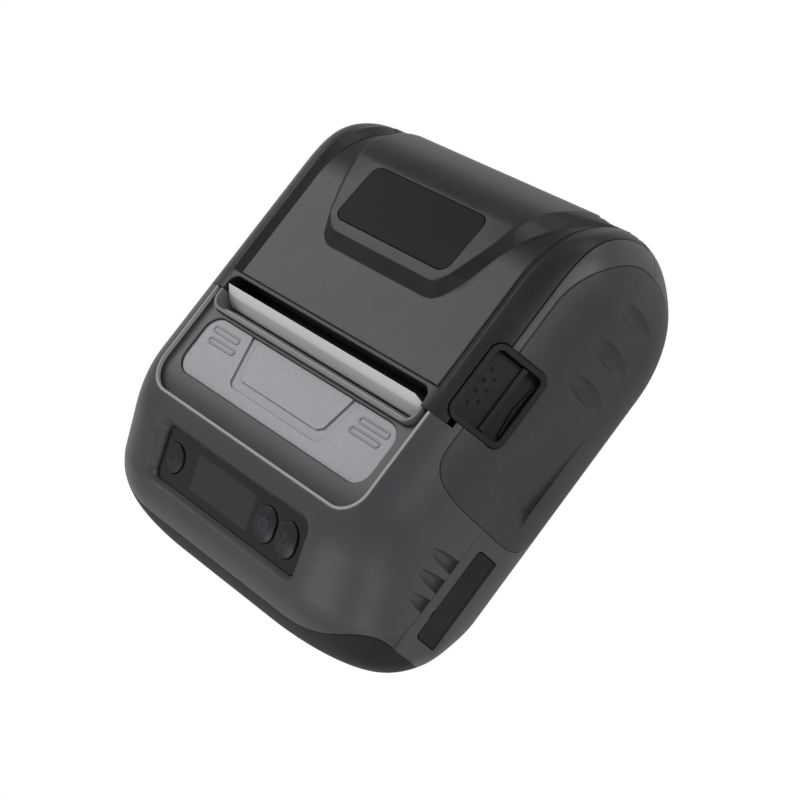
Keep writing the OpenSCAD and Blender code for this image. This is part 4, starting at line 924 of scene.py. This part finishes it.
def makePlate():
    groove = {"outer": [(24.7, 0), (18.9, -22.7), (17.4, -23.7)], "deep": 0.45,
              "inner": [(22.1, 0.1), (17.3, -19.8), (15.4, -21.1)]}
    marks = {"first": (30.6, -13.1), "step": (-0.9, -3.1), "size": (11.2, 1.9), "round": (0.9, 0.5),
             "line": 0.42, "raise": 0.22}
    depth, under, gap = plate["depth"], 30, case["gap"]
    body = keepIn(cut(inside(depth), inside(depth + plate["thick"])),
                  roomOf(plate, -gap, plate["back"] - gap, case["partLine"]))
    outer, inner = [[(-x, y) for x, y in line] + line[::-1] for line in (groove["outer"], groove["inner"])]
    cut(body, cut(prism(outer, under, far), prism(inner, under - 1, far + 1), inside(depth + groove["deep"])))
    (x, y), (dx, dy), (w, l), line = marks["first"], marks["step"], marks["size"], marks["line"]
    rails = []
    for side in (-1, 1):
        for i in (0, 1):
            at = (side * (x + i * dx), y + i * dy)
            rail = prism(roundRect(w, l, marks["round"][0], *at), under, far)
            hollow = roundRect(w - 2 * line, l - 2 * line, marks["round"][1], *at)
            rails.append(cut(rail, prism(hollow, under - 1, far + 1)))
    sheet = cut(inside(depth - marks["raise"]), inside(depth + 0.1))
    join(body, keepIn(sheet, join(rails[0], *rails[1:])))
    finishPiece(body, "frontPlate", "platePaint", "base", ["front_plate"])


def curved(line, start, parts):
    # the points before start stay, the rest lie on a smooth curve through the line
    made, line, last = list(line[:start]), np.array(line), len(line) - 1
    for k in range(start, last):
        a, b, c, d = line[[k - 1, k, k + 1, min(k + 2, last)]]
        second, third = 2 * a - 5 * b + 4 * c - d, 3 * b - a - 3 * c + d
        made += [(2 * b + (c - a) * t + second * t * t + third * t ** 3) / 2
                 for t in np.linspace(0, 1, parts, endpoint=False)]
    return made + [line[-1]]


def makeHump():
    # the raised housing of the window: a hull round small balls along its lower and upper edge
    hump = {"low": [(18.8, 19.3, 54.4), (21.2, 19.7, 54.4), (23, 20.9, 54.4), (24.3, 22.8, 54.4),
                    (28.5, 30.5, 54.4), (32.6, 40, 54), (36.2, 50, 50.6), (39.2, 58, 43.4), (40.4, 61.2, 40)],
            "top": [(19.8, 24.6, 57.3), (21.2, 25, 57.3), (22.3, 26, 57.4), (24, 28, 57.8),
                    (28.2, 38.2, 57), (30.2, 45.3, 56.4), (31.6, 50, 54.6), (33, 55, 50.6), (34, 60, 44.2),
                    (34.6, 62.2, 39.9)],
            "round": 1.0, "hollow": 2.2, "straight": 5, "parts": 4}
    r, edge = hump["round"], (hump["straight"], hump["parts"])
    rim = []
    for a in [math.pi * i / 12 for i in range(1, 12)]:
        for b in [2 * math.pi * j / 24 for j in range(24)]:
            rim.append((r * math.sin(a) * math.cos(b), r * math.sin(a) * math.sin(b), r * math.cos(a)))
    points = [(side * (x - r * 0.6) + dx, y + dy, z - r + dz)
              for x, y, z in curved(hump["low"], *edge) + curved(hump["top"], *edge)
              for side in (-1, 1) for dx, dy, dz in rim]
    return cut(hullOf(points), inside(hump["hollow"]))


def makeCover():
    window = {"at": (0, 36.25, 57.1), "lean": -4.6, "half": 21.8, "length": 17.9, "thick": 1.2, "round": 3.0,
              "ledge": 1.5, "deep": 10}
    swing = {"hingeDrop": 0.8, "hingeRise": 5, "rimRounder": 1, "rimZ": (53.1, 56.3), "slotLow": 31,
             "knuckleRoom": 0.8, "pinRoom": 0.03, "notchFit": 0.3, "notchFront": 0.8, "cornerX": 9,
             "cornerTop": 53.8}
    y, z, r, depth = hinge["y"], hinge["z"], hinge["r"], cover["fieldDepth"]
    front, half = case["coverSeam"] + case["gap"], cover["half"]
    zone = join(block((-half, front, z), (half, far, far)),
                block((-half, y, z - swing["hingeDrop"]), (half, far, z + swing["hingeRise"])))
    shell = keepIn(cut(form(0), form(case["wall"])), zone)
    # the sunk field with its sloped side walls and the channel along its edge
    half, start = cover["fieldHalf"], slot["back"] + slot["rim"]
    join(shell, keepIn(cut(inside(depth - 0.5), inside(depth + case["wall"])),
                       block((-half - 1.5, front, z), (half + 1.5, far, far))))
    wide, rise, inset = half + cover["slope"], cover["slopeRise"], cover["channel"]
    walls = [(-wide, -rise), (-half, depth), (half, depth), (wide, -rise)]
    bed = loft([[(x, *p) for p in insideLine(t)] for x, t in walls])
    field = cut(block((0.01 - wide, start, z + 3), (wide - 0.01, far, far)), bed)
    channel = cut(block((-half, start, z + 3), (half, far, far)),
                  block((inset - half, start + inset, 0), (half - inset, far, far + 1)),
                  inside(depth + cover["channelDeep"]))
    cut(shell, field, channel)
    rim = cut(roomOf(slot, slot["rim"], slot["back"] + slot["rim"], *swing["rimZ"], swing["rimRounder"]),
              block((-far, -far, 0), (far, front, far)))
    join(shell, makeHump(), rim, rod(-hinge["barrel"], hinge["barrel"], r, y, z))
    cut(shell, roomOf(slot, 0, slot["back"], swing["slotLow"]))
    pane = tilted(window["at"], window["lean"], "X")
    half, long, edge = window["half"], window["length"], window["ledge"]
    seat = prism(roundRect(2 * half, long, window["round"]), -window["thick"], far)
    hole = prism(roundRect(2 * (half - edge), long - 2 * edge, window["round"] - 1), -window["deep"], far)
    cut(shell, placed(seat, pane), placed(hole, pane))
    low, high = hinge["knuckle"][0] - hinge["gap"], hinge["knuckle"][1] + hinge["gap"]
    cut(shell, *pair(lambda: rod(low, high, r + swing["knuckleRoom"], y, z)),
        rod(-far, far, hinge["pin"] + swing["pinRoom"], y, z))
    notch = cut(latchCut(swing["notchFit"], -6, far),
                block((-far, -far, -far), (far, front + swing["notchFront"], far)))
    x, y = latch["at"][:2]
    cut(shell, notch, block((x - swing["cornerX"], -far, 0), (far, y, swing["cornerTop"])))
    finishPiece(shell, "swingCover", "coverGrain", "cover", ["top_cover"], sharp=20)


def makePaperSheet():
    # one sheet from the roll, round the platen and out of the slot, torn off at the top
    sheet = {"half": 39.7, "thick": 0.11, "roll": (16.84, 15.75), "platen": (-1.0, 42.5), "wrap": 4.24,
             "wrapTurn": (180, 221.3), "slotFoot": (-5.55, 50.0), "top": (-1.4, 56.2), "sag": 0.14,
             "freeSteps": 24, "tear": 0.09, "cut": 3.2, "drop": 1.8, "columns": 121}
    half, wide = sheet["half"], sheet["cut"]
    wrap = circle(sheet["wrap"], *sheet["platen"], 10, *sheet["wrapTurn"])[::-1]
    path = [sheet["roll"]] + wrap + [sheet["slotFoot"]]
    (y0, z0), (y1, z1) = sheet["slotFoot"], sheet["top"]
    free = len(path)
    for s in [k / sheet["freeSteps"] for k in range(1, sheet["freeSteps"] + 1)]:
        path.append((y0 + (y1 - y0) * (s - sheet["sag"] * math.sin(math.pi * s)), z0 + (z1 - z0) * s))
    path = np.array(path)
    run = np.gradient(path, axis=0)
    run /= np.linalg.norm(run, axis=1)[:, None]
    offset = np.stack([run[:, 1], -run[:, 0]], 1) * sheet["thick"] / 2
    points, n, m = [], sheet["columns"], len(path)
    for side in (-1, 1):
        for i in range(n):
            x = -half + 2 * half * i / (n - 1)
            wave = math.sin(x * 9.1) * math.sin(x * 3.3 + 1) + 0.5 * math.sin(x * 17.7)
            for k in range(m):
                s = max(0.0, (k - free + 1) / (m - free))
                drop = max(0.0, (x - half + wide) / wide) * sheet["drop"] * s * s
                y, z = path[k] + offset[k] * side
                points.append((x, y - drop * 0.6, z + sheet["tear"] * wave * s * s - drop))
    faces, grid = [], n * m
    for i in range(n - 1):
        a, b = i * m, (i + 1) * m
        for k in range(m - 1):
            faces += [(a + k, b + k, b + k + 1, a + k + 1),
                      (grid + a + k, grid + a + k + 1, grid + b + k + 1, grid + b + k)]
        faces += [(a, grid + a, grid + b, b), (a + m - 1, b + m - 1, grid + b + m - 1, grid + a + m - 1)]
    for a in range(m - 1):
        b = (n - 1) * m + a
        faces += [(a, a + 1, grid + a + 1, grid + a), (b, grid + b, grid + b + 1, b + 1)]
    finishPiece(newSolid(points, faces), "paperSheet", "paperSheet", "base", ["paper_strip"],
                sharp=50)


# Raised symbols on the domed keys
keys = {"row": -0.1, "power": -25.0, "settings": 15.1, "feed": 23.7, "dome": 16.0, "proud": 1.0,
        "rise": 0.05, "z": (0.2, 2), "line": 0.32}


def stroke(x0, y0, x1, y1, w=keys["line"]):
    d = Vector((x1 - x0, y1 - y0)).normalized() * w / 2
    return [(x0 - d.y, y0 + d.x), (x1 - d.y, y1 + d.x), (x1 + d.y, y1 - d.x), (x0 + d.y, y0 - d.x)]


def openRing(r, w, start, stop, steps=40):
    return circle(r + w / 2, 0, 0, steps, start, stop) + circle(r - w / 2, 0, 0, steps, start, stop)[::-1]


def makeSymbol(name, key, shapes):
    x, row = keys[key], keys["row"]
    cap = ball(keys["dome"] + keys["rise"], (x, row, keys["proud"] - keys["dome"]), 128)
    solids = []
    for shape in shapes:
        if isinstance(shape, tuple):
            outer, inner = [circle(r, x, row) for r in shape]
            solids.append(cut(prism(outer, *keys["z"]), prism(inner, 0.1, 3)))
        else:
            solids.append(prism([(x + px, row + py) for px, py in shape], *keys["z"]))
    symbol = placed(keepIn(join(solids[0], *solids[1:]), cap), lensFrame)
    finishPiece(symbol, name, "iconPrint", key + "_key", sharp=40)


def makeSymbols():
    # strokes as outlines, closed rings as an outer and an inner radius
    makeSymbol("powerSymbol", "power", [openRing(1.7, keys["line"], 125, 415), stroke(0, 0.7, 0, 2.2)])
    gear = [(1.55, 1.15), (0.75, 0.42)]
    for a in [2 * math.pi * i / 8 for i in range(8)]:
        gear.append(stroke(1.3 * math.cos(a), 1.3 * math.sin(a), 2.0 * math.cos(a), 2.0 * math.sin(a), 0.62))
    makeSymbol("settingsSymbol", "settings", gear)
    page = [(-1.6, -1.5, 1.6, -1.5), (-1.6, -1.6, -1.6, 0.2), (1.6, -1.6, 1.6, 0.2), (0, -0.7, 0, 1.6),
            (-0.9, 0.9, 0.08, 1.9), (0.9, 0.9, -0.08, 1.9)]
    makeSymbol("feedSymbol", "feed", [stroke(*line) for line in page])


bothCases = makeSkin()
makeUpperCase()
makeLowerCase()
bpy.data.objects.remove(bothCases)
makeBumper()
makeInserts()
makeTrim()
makePlate()
makeCover()
makePaperSheet()
makeSymbols()

# Studio
studio = {
    "keySoftbox": {"place": (-0.56, 0.12, 0.62), "aim": (0, 0, 0.04), "size": (0.42, 0.5), "power": 1.85},
    "noseFill": {"place": (-0.10, -0.75, 0.45), "aim": (0, 0, 0.03), "size": (0.6, 0.12), "power": 1.1},
    "rearStrip": {"place": (0.10, 0.80, 0.50), "aim": (0, 0, 0.04), "size": (0.6, 0.2), "power": 0.7},
    "cornerFill": {"place": (0.62, -0.72, 0.30), "aim": (0.02, -0.02, 0.03), "size": (0.4, 0.3),
                   "power": 0.9},
    "sideFill": {"place": (0.66, 0.34, 0.50), "aim": (0.02, 0, 0.03), "size": (0.35, 0.35), "power": 1.6},
}
ambient, floorInGloss, floorHalf = 0.3, 0.2, 6
for name, lamp in studio.items():
    data = bpy.data.lights.new(name, "AREA")
    data.shape = "RECTANGLE"
    data.size, data.size_y = lamp["size"]
    data.energy = lamp["power"]
    holder = bpy.data.objects.new(name, data)
    scene.collection.objects.link(holder)
    holder.location = lamp["place"]
    holder.rotation_euler = (Vector(lamp["aim"]) - Vector(lamp["place"])).to_track_quat("-Z", "Y").to_euler()

# the background is white to the camera and dimmer as a source of light
world = bpy.data.worlds.new("studioWorld")
scene.world = world
world.use_nodes = True
backdrop = world.node_tree.nodes["Background"]
rays = newNode(backdrop, "LightPath").outputs
level = add(times(rays["Is Camera Ray"], 1.0 - ambient), ambient)
setInputs(backdrop, Color=(1, 1, 1, 1), Strength=level)

floorData = bpy.data.meshes.new("studioFloor")
corners = [(x * floorHalf, y * floorHalf, 0) for x, y in ((-1, -1), (1, -1), (1, 1), (-1, 1))]
floorData.from_pydata(corners, [], [(0, 1, 2, 3)])
floor = bpy.data.objects.new("studioFloor", floorData)
scene.collection.objects.link(floor)
floorPaint = bpy.data.materials.new("floorPaint")
floorPaint.use_nodes = True
nodes = floorPaint.node_tree.nodes
shader = setInputs(nodes["Principled BSDF"], Base_Color=(0.80, 0.80, 0.80, 1), Roughness=1.0,
                   Specular_IOR_Level=0.0)
glow, rays = newNode(shader, "Emission"), newNode(shader, "LightPath").outputs
blend = newNode(shader, "MixShader")
seen = add(rays["Is Camera Ray"], times(rays["Is Glossy Ray"], floorInGloss))
for socket, source in zip(blend.inputs, (seen, shader.outputs["BSDF"], glow.outputs["Emission"])):
    feed(socket, source)
setInputs(nodes["Material Output"], Surface=blend.outputs["Shader"])
floorData.materials.append(floorPaint)
scene.view_settings.view_transform = "Standard"
